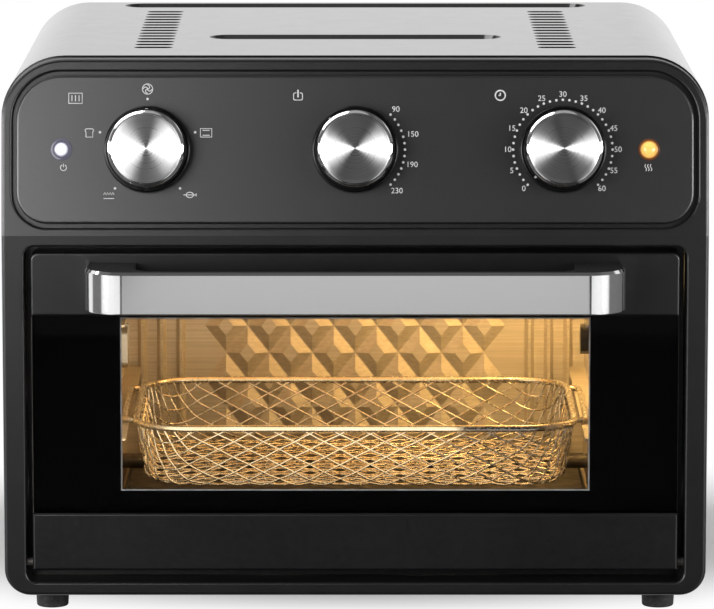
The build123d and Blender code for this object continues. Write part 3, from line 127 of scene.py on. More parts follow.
# %% [markdown]
# ## The studio
#
# Black gloss and bare steel show their surroundings more than themselves, so the world matters as
# much as the lamps. In reflections there are the things of a studio: a white backdrop behind, which
# is darker low on the right, pale walls to the left and to the right of the camera, some light
# straight overhead, and dark gaps between them and where a photographer would stand. The bent ends of
# the handle mirror these and the lamps as white and grey stripes. A panorama could be wrapped round
# the oven instead. Here each thing is a soft-edged range of the direction's X, Y or Z, so that it can
# be moved on its own.

# %% World in reflections
PALE_WALL = 1.0
SIDE_GAP = 0.16
FRONT_GAP = 0.03
ABOVE = 0.10
OVERHEAD = 0.45
BACKDROP_NEAR = (0.12, 0.30)
BACKDROP_TOP = (0.75, 0.50)
DIM_SIDE = (0.30, 0.50)
DIM_TOP = (0.05, -0.05)
FRONT_EDGE = (-0.30, -0.45)
WALL_EDGE = (0.32, 0.55)
WALL_TOP = (0.12, 0.0)
GAP_EDGE = (0.30, 0.60)
ABOVE_EDGE = (0.55, 0.80)
OVERHEAD_EDGE = (0.90, 0.96)

world = bpy.data.worlds.new("studio")
world.use_nodes = True
scene.world = world
sky = world.node_tree
sky.nodes.clear()
direction = add_node(sky, "ShaderNodeTexCoord").outputs["Generated"]
toward = add_node(sky, "ShaderNodeSeparateXYZ", {"Vector": direction})
sideways = math(sky, "ABSOLUTE", toward.outputs["X"])
in_front = ramp(sky, toward.outputs["Y"], *FRONT_EDGE)
low_down = ramp(sky, toward.outputs["Z"], *BACKDROP_TOP)
low_right = math(
    sky,
    "MULTIPLY",
    ramp(sky, toward.outputs["X"], *DIM_SIDE),
    ramp(sky, toward.outputs["Z"], *DIM_TOP),
)
backdrop = math(sky, "MULTIPLY", ramp(sky, toward.outputs["Y"], *BACKDROP_NEAR), low_down)
behind = math(sky, "MULTIPLY", backdrop, math(sky, "SUBTRACT", 1.0, low_right))
low_front = math(sky, "MULTIPLY", in_front, ramp(sky, toward.outputs["Z"], *WALL_TOP))
walls = math(sky, "MULTIPLY", ramp(sky, sideways, *WALL_EDGE, 0.0, PALE_WALL), low_front)
gaps = ramp(sky, sideways, *GAP_EDGE, FRONT_GAP, SIDE_GAP)
above = ramp(sky, toward.outputs["Z"], *ABOVE_EDGE, 0.0, ABOVE)
zenith = ramp(sky, toward.outputs["Z"], *OVERHEAD_EDGE, 0.0, OVERHEAD)
overhead = math(sky, "MAXIMUM", above, zenith)
pale = math(sky, "MAXIMUM", behind, walls)
mirrored = math(sky, "MAXIMUM", pale, math(sky, "MAXIMUM", gaps, overhead))
print("reflections: white backdrop, pale walls and dark gaps")

# %% [markdown]
# ### What each ray sees
#
# The backdrop has to be white behind the oven without lighting it up. A Light Path node tells the
# kinds of ray apart: the camera's rays, also straight through glass, see plain white; rays that are
# mirrored see the studio; and rays that only light a surface see an even grey.

# %% World for each kind of ray
BACKDROP_WHITE = 1.0
AMBIENT = 0.42

path = add_node(sky, "ShaderNodeLightPath")
through = path.outputs["Is Transmission Ray"]
bounces = math(sky, "ADD", path.outputs["Glossy Depth"], path.outputs["Diffuse Depth"])
bounced = math(sky, "MINIMUM", bounces, 1.0)
straight = math(sky, "MULTIPLY", through, math(sky, "SUBTRACT", 1.0, bounced))
seen = math(sky, "MAXIMUM", path.outputs["Is Camera Ray"], straight)
indirect = math(sky, "MULTIPLY", through, bounced)
glossy = math(sky, "MAXIMUM", path.outputs["Is Glossy Ray"], indirect)


def white_sky(strength):
    """A white background of some strength."""
    sockets = {"Color": (1, 1, 1, 1), "Strength": strength}
    return add_node(sky, "ShaderNodeBackground", sockets).outputs[0]


surround = add_node(
    sky, "ShaderNodeMixShader", {0: glossy, 1: white_sky(AMBIENT), 2: white_sky(mirrored)}
)
whole_sky = add_node(
    sky, "ShaderNodeMixShader", {0: seen, 1: surround.outputs[0], 2: white_sky(BACKDROP_WHITE)}
)
add_node(sky, "ShaderNodeOutputWorld", {"Surface": whole_sky.outputs[0]})
print("world: white to the camera, ambient light of", AMBIENT)

# %% [markdown]
# ## The floor
#
# The floor is a pale disc that holds the oven's shadow and melts into the white backdrop towards its
# edge. A plane would do as well; on a disc one distance from the middle is enough for the fade. It is
# left out of reflections, where the world stands for it.

# %% Floor
FLOOR_HALF_X = 0.85
FLOOR_HALF_Y = 0.55
FLOOR_MIDDLE_Y = 0.10
FLOOR_SIDES = 96
FLOOR_DROP = 0.0002
FLOOR_FADE = (0.27, 0.50)
FLOOR_GREY = 0.86

floor_mesh = bpy.data.meshes.new("floor")
floor_rim = [2 * pi * k / FLOOR_SIDES for k in range(FLOOR_SIDES)]
floor_mesh.from_pydata(
    [(FLOOR_HALF_X * cos(a), FLOOR_MIDDLE_Y + FLOOR_HALF_Y * sin(a), -FLOOR_DROP) for a in floor_rim],
    [],
    [list(range(FLOOR_SIDES))],
)
floor = bpy.data.objects.new("floor", floor_mesh)
scene.collection.objects.link(floor)
floor.visible_glossy = False

floor_paint = bpy.data.materials.new("floor_paper")
floor_paint.use_nodes = True
paper = floor_paint.node_tree
paper.nodes.clear()
spot = add_node(paper, "ShaderNodeTexCoord").outputs["Object"]
centred = add_node(
    paper,
    "ShaderNodeMapping",
    {
        "Vector": spot,
        "Location": (0, -FLOOR_MIDDLE_Y / FLOOR_HALF_Y, 0),
        "Scale": (1 / FLOOR_HALF_X, 1 / FLOOR_HALF_Y, 0),
    },
)
far = add_node(paper, "ShaderNodeVectorMath", {0: centred.outputs[0]}, operation="LENGTH")
fade = ramp(paper, far.outputs["Value"], *FLOOR_FADE)
floor_path = add_node(paper, "ShaderNodeLightPath")
fade_seen = math(paper, "MULTIPLY", fade, floor_path.outputs["Is Camera Ray"])
matt = add_node(paper, "ShaderNodeBsdfDiffuse", {"Color": (FLOOR_GREY, FLOOR_GREY, FLOOR_GREY, 1)})
glow = add_node(paper, "ShaderNodeEmission", {"Color": (1, 1, 1, 1), "Strength": BACKDROP_WHITE})
paper_mix = add_node(
    paper, "ShaderNodeMixShader", {0: fade_seen, 1: matt.outputs[0], 2: glow.outputs[0]}
)
add_node(paper, "ShaderNodeOutputMaterial", {"Surface": paper_mix.outputs[0]})
floor_mesh.materials.append(floor_paint)
print("floor disc of", 2 * FLOOR_HALF_X, "by", 2 * FLOOR_HALF_Y, "m")

# %% [markdown]
# ## The lamps
#
# The big softbox stands to the left of the camera: the panel mirrors it softly at its left end, and
# the knob caps spread it into white wings. A weaker one stands further out on the right, and a broad
# one hangs above. Five lamps show in reflections alone: two strips at the sides and two narrow ones
# in front of them draw a light line along every rounded edge, and one high on the left lights the
# upper halves of the caps. All are area lamps, because gloss shows a lamp's size and shape.

# %% Lamps


def soft_lamp(name, place, aim, wide, tall, power, colour=(1, 1, 1)):
    """An area lamp at a place, turned towards a point, hidden from the camera."""
    data = bpy.data.lights.new(name, "AREA")
    data.shape = "RECTANGLE"
    data.size = wide
    data.size_y = tall
    data.energy = power
    data.color = colour
    lamp = bpy.data.objects.new(name, data)
    lamp.location = place
    lamp.rotation_euler = (Vector(aim) - Vector(place)).to_track_quat("-Z", "Y").to_euler()
    lamp.visible_camera = False
    lamp.visible_transmission = False
    scene.collection.objects.link(lamp)
    return lamp


OVEN_MIDDLE = (0, -0.05, 0.18)
soft_lamp("left_softbox", (-0.57, -1.20, 0.43), (-0.57, 0, 0.43), wide=0.60, tall=0.50, power=6.8)
soft_lamp("right_softbox", (0.75, -1.20, 0.445), (0.75, 0, 0.445), wide=0.50, tall=0.61, power=2.3)
top_lamp = soft_lamp("top_lamp", (0, -0.2, 2.0), OVEN_MIDDLE, wide=1.6, tall=1.2, power=24)
top_lamp.visible_glossy = False
for name, place, wide, tall, power in (
    ("left_strip", (-1.2, -0.15, 0.315), 0.9, 0.27, 8),
    ("right_strip", (1.2, -0.15, 0.315), 0.9, 0.27, 8),
    ("left_edge", (-0.98, -0.84, 0.33), 0.3, 0.45, 6),
    ("right_edge", (0.98, -0.84, 0.33), 0.3, 0.45, 6),
    ("high_left", (-0.9, 0.15, 1.55), 0.6, 1.4, 14),
):
    edge_lamp = soft_lamp(name, place, OVEN_MIDDLE, wide, tall, power)
    edge_lamp.visible_diffuse = False
print(len(bpy.data.lights), "soft lamps")

# %% [markdown]
# ### White cards
#
# Polished metal is only as bright as what it mirrors, so a photographer puts white cards in front of
# it. One lies at the height of the floor and two stand above it, all out of the camera's sight: the
# flat of the handle shows the one that lies, and its bent ends show the two that stand. Lamps would
# do this too. A card is simpler: it shows in reflections and lights no matt surface.

# %% White cards


def glow_card(name, corners, strength):
    """A flat card that shows in reflections alone."""
    mesh = bpy.data.meshes.new(name)
    mesh.from_pydata(corners, [], [(0, 1, 2, 3)])
    card = bpy.data.objects.new(name, mesh)
    scene.collection.objects.link(card)
    for ray in ("camera", "diffuse", "transmission", "volume_scatter", "shadow"):
        setattr(card, f"visible_{ray}", False)
    paint = bpy.data.materials.new(name)
    paint.use_nodes = True
    tree = paint.node_tree
    tree.nodes.clear()
    light = add_node(tree, "ShaderNodeEmission", {"Color": (1, 1, 1, 1), "Strength": strength})
    add_node(tree, "ShaderNodeOutputMaterial", {"Surface": light.outputs[0]})
    mesh.materials.append(paint)
    return card


CARD_LEFT = -0.25
CARD_RIGHT = 0.30
CARD_NEAR = -1.15
CARD_FAR = -3.00
CARD_GLOW = 0.62
glow_card(
    "sweep_card",
    [(x, y, 0) for x, y in (
        (CARD_LEFT, CARD_FAR), (CARD_RIGHT, CARD_FAR), (CARD_RIGHT, CARD_NEAR), (CARD_LEFT, CARD_NEAR)
    )],
    CARD_GLOW,
)
FLAG_Y = -0.90
FLAG_LOW = 0.03
FLAG_HIGH = 0.11
FLAG_GLOW = 1.1
FLAG_LEFT = -0.25
FLAG_RIGHT = 0.29
FLAG_REACH = 1.4
for name, near_x, far_x in (
    ("left_flag", FLAG_LEFT, -FLAG_REACH),
    ("right_flag", FLAG_RIGHT, FLAG_REACH),
):
    glow_card(
        name,
        [(x, FLAG_Y, z) for x, z in (
            (near_x, FLAG_LOW), (far_x, FLAG_LOW), (far_x, FLAG_HIGH), (near_x, FLAG_HIGH)
        )],
        FLAG_GLOW,
    )
print("three white cards in front of the oven")

# %% [markdown]
# ## Finishes
#
# Each finish is one short function that starts from the Principled shader. What is the same all
# over is set on the shader's own socket; what varies, such as grain, orange peel or rolling marks,
# comes from noise on Object coordinates, whose unit is the metre, so that a grain has a real size.

# %% Helpers for finishes
NOISE_SPAN = (0.32, 0.68)


def finish(name, sockets):
    """A new material whose Principled shader has these socket values."""
    material = bpy.data.materials.new(name)
    material.use_nodes = True
    shader = material.node_tree.nodes["Principled BSDF"]
    for label, value in sockets.items():
        shader.inputs[label].default_value = value
    return material, material.node_tree, shader


def grey(value, warm=0.0):
    """A colour that is almost grey, a little warmer or cooler."""
    return (value * (1 + warm), value, value * (1 - warm), 1)


def grain(tree, size, stretch=(1, 1, 1), detail=2.0):
    """Noise whose grains have a size in metres; stretch below 1 draws them out along an axis."""
    place = add_node(tree, "ShaderNodeTexCoord").outputs["Object"]
    drawn = add_node(tree, "ShaderNodeMapping", {"Vector": place, "Scale": stretch}).outputs[0]
    noise = add_node(tree, "ShaderNodeTexNoise", {"Vector": drawn, "Scale": 1 / size, "Detail": detail})
    return noise.outputs[0]


def vary(tree, noise, low, high, socket):
    """Lets a shader socket vary between two values with the noise."""
    tree.links.new(ramp(tree, noise, *NOISE_SPAN, low, high), socket)


def tint(tree, noise, dark, light, socket):
    """Lets a colour vary between two colours with the noise."""
    spread = ramp(tree, noise, *NOISE_SPAN)
    mix = add_node(tree, "ShaderNodeMix", {0: spread, 6: dark, 7: light}, data_type="RGBA")
    tree.links.new(mix.outputs[2], socket)


def emboss(tree, noise, depth, shader, strength):
    """Raises the surface by the noise, to a depth in metres."""
    bump = add_node(tree, "ShaderNodeBump", {"Height": noise, "Distance": depth, "Strength": strength})
    tree.links.new(bump.outputs[0], shader.inputs["Normal"])


print("helpers for finishes")

# %% [markdown]
# ### Paints and front mouldings
#
# The shell is gloss enamel on sheet steel. Sprayed enamel is never a perfect mirror: it has a faint
# orange peel a few millimetres across. The bezel and the panel are moulded plastic with a fine satin
# grain, and the paint of the door rails has a coarser one. An image of each could be tiled over the
# piece; noise has no seams and no end.

# %% Paints and front mouldings


def shell_enamel():
    """Black gloss enamel with orange peel."""
    sockets = {"IOR": 1.5, "Coat Weight": 0.25, "Coat Roughness": 0.05, "Coat IOR": 1.5}
    material, tree, shader = finish("shell_enamel", sockets)
    tint(tree, grain(tree, 0.05), grey(0.010), grey(0.014), shader.inputs["Base Color"])
    vary(tree, grain(tree, 0.012), 0.12, 0.14, shader.inputs["Roughness"])
    emboss(tree, grain(tree, 0.0032), 0.00001, shader, 0.15)
    return material


def bezel_satin():
    """Black moulded plastic with a spark-eroded grain."""
    material, tree, shader = finish("bezel_satin", {"IOR": 1.48, "Specular IOR Level": 0.6})
    tint(tree, grain(tree, 0.03), grey(0.004), grey(0.006), shader.inputs["Base Color"])
    vary(tree, grain(tree, 0.002), 0.33, 0.36, shader.inputs["Roughness"])
    emboss(tree, grain(tree, 0.0006), 0.00003, shader, 0.5)
    return material


def panel_charcoal():
    """Charcoal fascia with a fine pearl in the plastic."""
    material, tree, shader = finish("panel_charcoal", {"IOR": 1.5, "Specular IOR Level": 0.85})
    tint(tree, grain(tree, 0.0007), grey(0.004), grey(0.008), shader.inputs["Base Color"])
    vary(tree, grain(tree, 0.003), 0.34, 0.36, shader.inputs["Roughness"])
    emboss(tree, grain(tree, 0.0004), 0.00002, shader, 0.4)
    return material


def door_enamel():
    """Satin black paint of the door rails."""
    material, tree, shader = finish("door_enamel", {"IOR": 1.5, "Specular IOR Level": 0.5})
    tint(tree, grain(tree, 0.04), grey(0.004), grey(0.006), shader.inputs["Base Color"])
    vary(tree, grain(tree, 0.003), 0.31, 0.34, shader.inputs["Roughness"])
    emboss(tree, grain(tree, 0.0011), 0.00003, shader, 0.4)
    return material


print("four paints and front mouldings")

# %% [markdown]
# ### Knobs, feet and hidden mouldings
#
# What is touched or hidden is plainer: mouldings with a coarser grain, the handle's black core,
# glossy knobs and dull rubber feet. One black plastic could serve for all of them. Each has a
# roughness of its own, because that is how the eye tells black plastics apart.

# %% Knobs, feet and hidden mouldings


def dark_moulding():
    """Unseen and half-seen black mouldings, with a coarser grain."""
    material, tree, shader = finish("dark_moulding", {"IOR": 1.46})
    tint(tree, grain(tree, 0.02), grey(0.011), grey(0.019), shader.inputs["Base Color"])
    vary(tree, grain(tree, 0.003), 0.42, 0.55, shader.inputs["Roughness"])
    emboss(tree, grain(tree, 0.0008), 0.00004, shader, 0.6)
    return material


def handle_plastic():
    """Black core of the handle."""
    material, tree, shader = finish("handle_plastic", {"IOR": 1.46})
    tint(tree, grain(tree, 0.01), grey(0.012), grey(0.016), shader.inputs["Base Color"])
    vary(tree, grain(tree, 0.002), 0.42, 0.50, shader.inputs["Roughness"])
    return material


def knob_gloss():
    """Glossy black of the knob bodies, with faint handling marks."""
    material, tree, shader = finish("knob_gloss", {"IOR": 1.5, "Specular IOR Level": 0.25})
    tint(tree, grain(tree, 0.01), grey(0.003), grey(0.005), shader.inputs["Base Color"])
    vary(tree, grain(tree, 0.002, (1, 0.3, 1)), 0.14, 0.26, shader.inputs["Roughness"])
    return material


def foot_rubber():
    """Dull rubber with a dusty bloom."""
    material, tree, shader = finish("foot_rubber", {"IOR": 1.45})
    tint(tree, grain(tree, 0.006), grey(0.012), grey(0.026), shader.inputs["Base Color"])
    vary(tree, grain(tree, 0.002), 0.62, 0.82, shader.inputs["Roughness"])
    emboss(tree, grain(tree, 0.0009), 0.00008, shader, 0.6)
    return material


print("four plainer plastics")

# %% [markdown]
# ### Prints
#
# The panel has white screen print, and the back of the door glass has black ceramic print. Ink is a
# little uneven, so fine noise moves its colour and its roughness. The black print hardly mirrors
# anything, so its specular level is low.

# %% Prints


def printed_white():
    """White screen print, a little uneven as ink is."""
    material, tree, shader = finish("printed_white", {"IOR": 1.4})
    tint(tree, grain(tree, 0.0008), grey(0.70), grey(0.82), shader.inputs["Base Color"])
    vary(tree, grain(tree, 0.0008), 0.45, 0.6, shader.inputs["Roughness"])
    return material


def frit_black():
    """Black ceramic print on the back of the door glass."""
    material, tree, shader = finish("frit_black", {"IOR": 1.3, "Specular IOR Level": 0.1})
    tint(tree, grain(tree, 0.004), grey(0.0006), grey(0.0014), shader.inputs["Base Color"])
    vary(tree, grain(tree, 0.002), 0.5, 0.6, shader.inputs["Roughness"])
    return material


print("two prints")

# %% [markdown]
# ### Sheet metals
#
# Zinc-coated sheet shows crystals, so its tone comes from Voronoi cells. The cavity is aluminised
# steel: rolling leaves long faint streaks, which are noise drawn out along one axis. The crumb tray
# has a dark coat with a fine fleck.

# %% Sheet metals
DRAWN_OUT = 0.012
SPANGLE = 5.0 * MM


def streaks(tree, size, along):
    """Fine lines drawn out along one axis, as rolling or brushing leaves."""
    stretch = [1, 1, 1]
    stretch[along] = DRAWN_OUT
    return grain(tree, size, stretch, detail=3.0)


def zinc_spangle():
    """Hot-dip zinc on sheet steel."""
    material, tree, shader = finish("zinc_spangle", {"Metallic": 1.0})
    place = add_node(tree, "ShaderNodeTexCoord").outputs["Object"]
    cells = add_node(tree, "ShaderNodeTexVoronoi", {"Vector": place, "Scale": 1 / SPANGLE})
    shade = add_node(tree, "ShaderNodeSeparateColor", {"Color": cells.outputs["Color"]}).outputs[0]
    tint(tree, shade, grey(0.46, 0.01), grey(0.53, -0.01), shader.inputs["Base Color"])
    vary(tree, shade, 0.36, 0.46, shader.inputs["Roughness"])
    emboss(tree, grain(tree, 0.0015), 0.00003, shader, 0.4)
    return material


def liner_aluminised():
    """Aluminised steel of the cavity, with rolling marks."""
    material, tree, shader = finish("liner_aluminised", {"Metallic": 0.6})
    marks = streaks(tree, 0.0012, 0)
    tint(tree, marks, (0.50, 0.455, 0.39, 1), (0.60, 0.555, 0.49, 1), shader.inputs["Base Color"])
    vary(tree, grain(tree, 0.02), 0.44, 0.56, shader.inputs["Roughness"])
    emboss(tree, marks, 0.00003, shader, 0.3)
    return material


def tray_coating():
    """Dark non-stick coating of the crumb tray, with a fine fleck."""
    material, tree, shader = finish("tray_coating", {"IOR": 1.45})
    tint(tree, grain(tree, 0.0012), grey(0.027, 0.03), grey(0.053, 0.03), shader.inputs["Base Color"])
    vary(tree, grain(tree, 0.01), 0.34, 0.48, shader.inputs["Roughness"])
    emboss(tree, grain(tree, 0.0006), 0.00002, shader, 0.4)
    return material


print("three sheet metals")

# %% [markdown]
# ### Bright metals
#
# Brushed and spun steel spread a reflection across the brushing, so they are anisotropic; the tangent
# is taken from a UV map that runs across the marks. Chrome and plated wire have no such direction,
# only a little haze.

# %% Bright metals


def spun_steel():
    """Face of a knob cap, turned on a lathe: concentric marks around the centre."""
    material, tree, shader = finish("spun_steel", {"Metallic": 1.0, "Anisotropic": 1.0})
    polar = add_node(tree, "ShaderNodeTexCoord").outputs["UV"]
    rings = add_node(tree, "ShaderNodeMapping", {"Vector": polar, "Scale": (9.0, 0.02, 1)}).outputs[0]
    noise = add_node(tree, "ShaderNodeTexNoise", {"Vector": rings, "Scale": 6.0, "Detail": 3.0})
    marks = noise.outputs[0]
    tint(tree, marks, grey(0.62), grey(0.80), shader.inputs["Base Color"])
    vary(tree, marks, 0.27, 0.31, shader.inputs["Roughness"])
    across = add_node(tree, "ShaderNodeTangent", direction_type="UV_MAP", uv_map="across")
    tree.links.new(across.outputs[0], shader.inputs["Tangent"])
    return material


def bright_chrome():
    """Polished bevel and wire, with a trace of haze."""
    material, tree, shader = finish("bright_chrome", {"Metallic": 1.0})
    tint(tree, grain(tree, 0.004), grey(0.70), grey(0.82), shader.inputs["Base Color"])
    vary(tree, grain(tree, 0.003), 0.06, 0.14, shader.inputs["Roughness"])
    return material


def basket_wire():
    """Nickel-plated wire, warm where it has been heated."""
    material, tree, shader = finish("basket_wire", {"Metallic": 1.0})
    heated = (0.66, 0.62, 0.55, 1)
    bright = (0.80, 0.78, 0.74, 1)
    tint(tree, grain(tree, 0.025), heated, bright, shader.inputs["Base Color"])
    vary(tree, grain(tree, 0.002), 0.16, 0.30, shader.inputs["Roughness"])
    return material


def brushed_handle():
    """Satin steel of the handle, brushed along its length."""
    material, tree, shader = finish("brushed_handle", {"Metallic": 1.0, "Anisotropic": 0.3})
    marks = streaks(tree, 0.0005, 0)
    tint(tree, marks, grey(0.78), grey(0.83), shader.inputs["Base Color"])
    vary(tree, marks, 0.09, 0.12, shader.inputs["Roughness"])
    across = add_node(tree, "ShaderNodeTangent", direction_type="UV_MAP", uv_map="across")
    tree.links.new(across.outputs[0], shader.inputs["Tangent"])
    return material


print("four bright metals")

# %% [markdown]
# ### Dull metals
#
# Heating rods oxidise to a grey-brown, the fan wheels are pressed aluminium, and a motor's core is a
# stack of varnished iron sheets. They are small or half hidden, so noise on the colour and on the
# roughness is enough.

# %% Dull metals


def heater_sheath():
    """Steel sheath of the heating rods, oxidised to a dull grey-brown."""
    material, tree, shader = finish("heater_sheath", {"Metallic": 0.7})
    tint(tree, grain(tree, 0.006), grey(0.092, 0.08), grey(0.185, 0.08), shader.inputs["Base Color"])
    vary(tree, grain(tree, 0.003), 0.42, 0.60, shader.inputs["Roughness"])
    return material


def fan_aluminium():
    """Pressed aluminium of the fan wheels."""
    material, tree, shader = finish("fan_aluminium", {"Metallic": 1.0})
    tint(tree, grain(tree, 0.01), grey(0.58), grey(0.72), shader.inputs["Base Color"])
    vary(tree, grain(tree, 0.004), 0.28, 0.42, shader.inputs["Roughness"])
    return material


def motor_laminations():
    """Stacked iron sheets of a motor, with a coat of varnish."""
    material, tree, shader = finish("motor_laminations", {"Metallic": 0.6})
    sheets = streaks(tree, 0.0007, 0)
    tint(tree, sheets, grey(0.05), grey(0.14), shader.inputs["Base Color"])
    vary(tree, sheets, 0.35, 0.5, shader.inputs["Roughness"])
    return material


print("three dull metals")

# %% [markdown]
# ### Glass and ceramic
#
# The door glass has hardly any reflection of its own in the picture, so its index is low. The cover
# of the oven lamp is frosted and lit from behind, so it glows a little, as its bulb does. The
# insulators are unglazed ceramic.

# %% Glass and ceramic


def door_glazing():
    """Clear glass of the door, with a faint grey tint and smears in its gloss."""
    material, tree, shader = finish("door_glazing", {"IOR": 1.12, "Transmission Weight": 1.0})
    tint(tree, grain(tree, 0.06), grey(0.93), grey(0.97), shader.inputs["Base Color"])
    vary(tree, grain(tree, 0.05), 0.0, 0.02, shader.inputs["Roughness"])
    return material


def lamp_cover_glass():
    """Pressed glass over the oven lamp, lightly frosted."""
    sockets = {"IOR": 1.3, "Transmission Weight": 0.7}
    material, tree, shader = finish("lamp_cover_glass", sockets)
    amber = (0.95, 0.82, 0.60, 1)
    straw = (1.0, 0.92, 0.76, 1)
    tint(tree, grain(tree, 0.004), amber, straw, shader.inputs["Base Color"])
    vary(tree, grain(tree, 0.001), 0.25, 0.4, shader.inputs["Roughness"])
    shader.inputs["Emission Color"].default_value = (1.0, 0.66, 0.30, 1)
    shader.inputs["Emission Strength"].default_value = 0.8
    return material


def bulb_glow():
    """Lit bulb of the oven lamp."""
    sockets = {"Emission Color": (1.0, 0.72, 0.36, 1), "Emission Strength": 1.2}
    material, tree, shader = finish("bulb_glow", sockets)
    tint(tree, grain(tree, 0.006), (0.9, 0.75, 0.5, 1), (1.0, 0.88, 0.66, 1), shader.inputs["Base Color"])
    vary(tree, grain(tree, 0.003), 0.12, 0.2, shader.inputs["Roughness"])
    return material


def insulator_ceramic():
    """Unglazed steatite."""
    material, tree, shader = finish("insulator_ceramic", {"IOR": 1.45})
    sand = (0.70, 0.66, 0.58, 1)
    cream = (0.82, 0.79, 0.72, 1)
    tint(tree, grain(tree, 0.004), sand, cream, shader.inputs["Base Color"])
    vary(tree, grain(tree, 0.001), 0.55, 0.75, shader.inputs["Roughness"])
    return material


print("four finishes of glass and ceramic")

# %% [markdown]
# ### Indicator jewels
#
# The indicator lamps are moulded jewels lit from inside: they glow in the middle and darken to the
# rim, which follows the turned piece's own UV map. A small lamp behind each could do it; a glow in
# the material is simpler and stays within the jewel.

# %% Indicator jewels
JEWEL_BLUR = 0.14


def jewel(name, rim, core, glow, reach):
    """A moulded lamp jewel: glowing core out to a share of its radius, then a darker rim."""
    material, tree, shader = finish(name, {"IOR": 1.45, "Roughness": 0.12, "Emission Strength": glow})
    polar = add_node(tree, "ShaderNodeTexCoord").outputs["UV"]
    radius = add_node(tree, "ShaderNodeSeparateXYZ", {"Vector": polar}).outputs["X"]
    outward = ramp(tree, radius, reach - JEWEL_BLUR, reach + JEWEL_BLUR)
    mix = add_node(tree, "ShaderNodeMix", {0: outward, 6: core, 7: rim}, data_type="RGBA")
    for label in ("Base Color", "Emission Color"):
        tree.links.new(mix.outputs[2], shader.inputs[label])
    return material


print("one kind of jewel, for both lamps")

# %% [markdown]
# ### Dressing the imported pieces
#
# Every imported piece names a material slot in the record. One table joins each slot to a finish, and
# a loop puts the finish on every piece, also on those that are replaced further down.

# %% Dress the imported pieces
FINISHES = {
    "shell_paint": shell_enamel(),
    "bezel_plastic": bezel_satin(),
    "panel_plastic": panel_charcoal(),
    "zinc_steel": zinc_spangle(),
    "dark_plastic": dark_moulding(),
    "foot_rubber": foot_rubber(),
    "knob_plastic": knob_gloss(),
    "knob_steel": spun_steel(),
    "white_lens": jewel("power_jewel", (0.10, 0.095, 0.13, 1), (0.84, 0.85, 0.95, 1), 0.35, 0.58),
    "amber_lens": jewel("heating_jewel", (0.10, 0.035, 0.014, 1), (0.92, 0.52, 0.13, 1), 0.55, 0.74),
    "liner_steel": liner_aluminised(),
    "tray_coating": tray_coating(),
    "heater_sheath": heater_sheath(),
    "insulator_ceramic": insulator_ceramic(),
    "fan_aluminium": fan_aluminium(),
    "motor_metal": motor_laminations(),
    "lamp_glass": lamp_cover_glass(),
    "bulb_glass": bulb_glow(),
    "door_paint": door_enamel(),
    "door_glass": door_glazing(),
    "handle_steel": brushed_handle(),
    "basket_chrome": basket_wire(),
}
chrome = bright_chrome()
ink = printed_white()
frit = frit_black()

for subpart in frame["record"]["subparts"]:
    piece = nodes[subpart["node"]]
    piece.data.materials.clear()
    piece.data.materials.append(FINISHES[subpart["material_slot"]])
nodes["hinge_pins"].data.materials[0] = FINISHES["heater_sheath"]
nodes["handle_core"].data.materials[0] = handle_plastic()
print(len(FINISHES), "finishes on", len(nodes), "pieces")

# %% [markdown]
# ## Making pieces
#
# A new piece is a plain mesh at the origin that rides on one of the bodies. Geometry Nodes make what
# repeats: a small tree is built here, its sizes are named inputs, and the evaluated result is kept
# as a mesh, so that nothing is left to compute later.

# %% Helpers for pieces


def new_piece(name, mesh, body, replaced=()):
    """Links a finished mesh as a piece of the oven."""
    mesh.name = name
    piece = bpy.data.objects.new(name, mesh)
    scene.collection.objects.link(piece)
    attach(piece, body)
    if replaced:
        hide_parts(*replaced)
    return piece


def node_tree(name, sizes):
    """An empty Geometry Nodes tree with named inputs; returns it with its input and output nodes."""
    tree = bpy.data.node_groups.new(name, "GeometryNodeTree")
    kinds = {float: "NodeSocketFloat", int: "NodeSocketInt"}
    tree.interface.new_socket("Geometry", in_out="INPUT", socket_type="NodeSocketGeometry")
    for label, value in sizes.items():
        socket = tree.interface.new_socket(label, in_out="INPUT", socket_type=kinds[type(value)])
        socket.default_value = value
    tree.interface.new_socket("Finish", in_out="INPUT", socket_type="NodeSocketMaterial")
    tree.interface.new_socket("Geometry", in_out="OUTPUT", socket_type="NodeSocketGeometry")
    return tree, add_node(tree, "NodeGroupInput"), add_node(tree, "NodeGroupOutput")


def close_tree(tree, shape, given, result):
    """Ends a tree: real geometry instead of instances, and one material."""
    real = add_node(tree, "GeometryNodeRealizeInstances", {"Geometry": shape})
    dressed = add_node(
        tree,
        "GeometryNodeSetMaterial",
        {"Geometry": real.outputs[0], "Material": given.outputs["Finish"]},
    )
    tree.links.new(dressed.outputs[0], result.inputs["Geometry"])
    return tree


def grown(tree, points, edges, material, **sizes):
    """Runs a tree on points and edges, with its sizes set, and returns the result as a mesh."""
    seed_mesh = bpy.data.meshes.new("seed")
    seed_mesh.from_pydata(points, edges, [])
    seed = bpy.data.objects.new("seed", seed_mesh)
    scene.collection.objects.link(seed)
    modifier = seed.modifiers.new("grow", "NODES")
    modifier.node_group = tree
    values = {"Finish": material, **{label.replace("_", " "): value for label, value in sizes.items()}}
    for item in tree.interface.items_tree:
        if item.item_type == "SOCKET" and item.in_out == "INPUT" and item.name in values:
            modifier[item.identifier] = values[item.name]
    depsgraph = bpy.context.evaluated_depsgraph_get()
    mesh = bpy.data.meshes.new_from_object(seed.evaluated_get(depsgraph))
    bpy.data.objects.remove(seed)
    return mesh


def joined(meshes):
    """One mesh from several; they keep their shared material."""
    work = bmesh.new()
    for mesh in meshes:
        work.from_mesh(mesh)
    whole = bpy.data.meshes.new("joined")
    work.to_mesh(whole)
    work.free()
    whole.materials.append(meshes[0].materials[0])
    return whole


print("helpers for pieces")

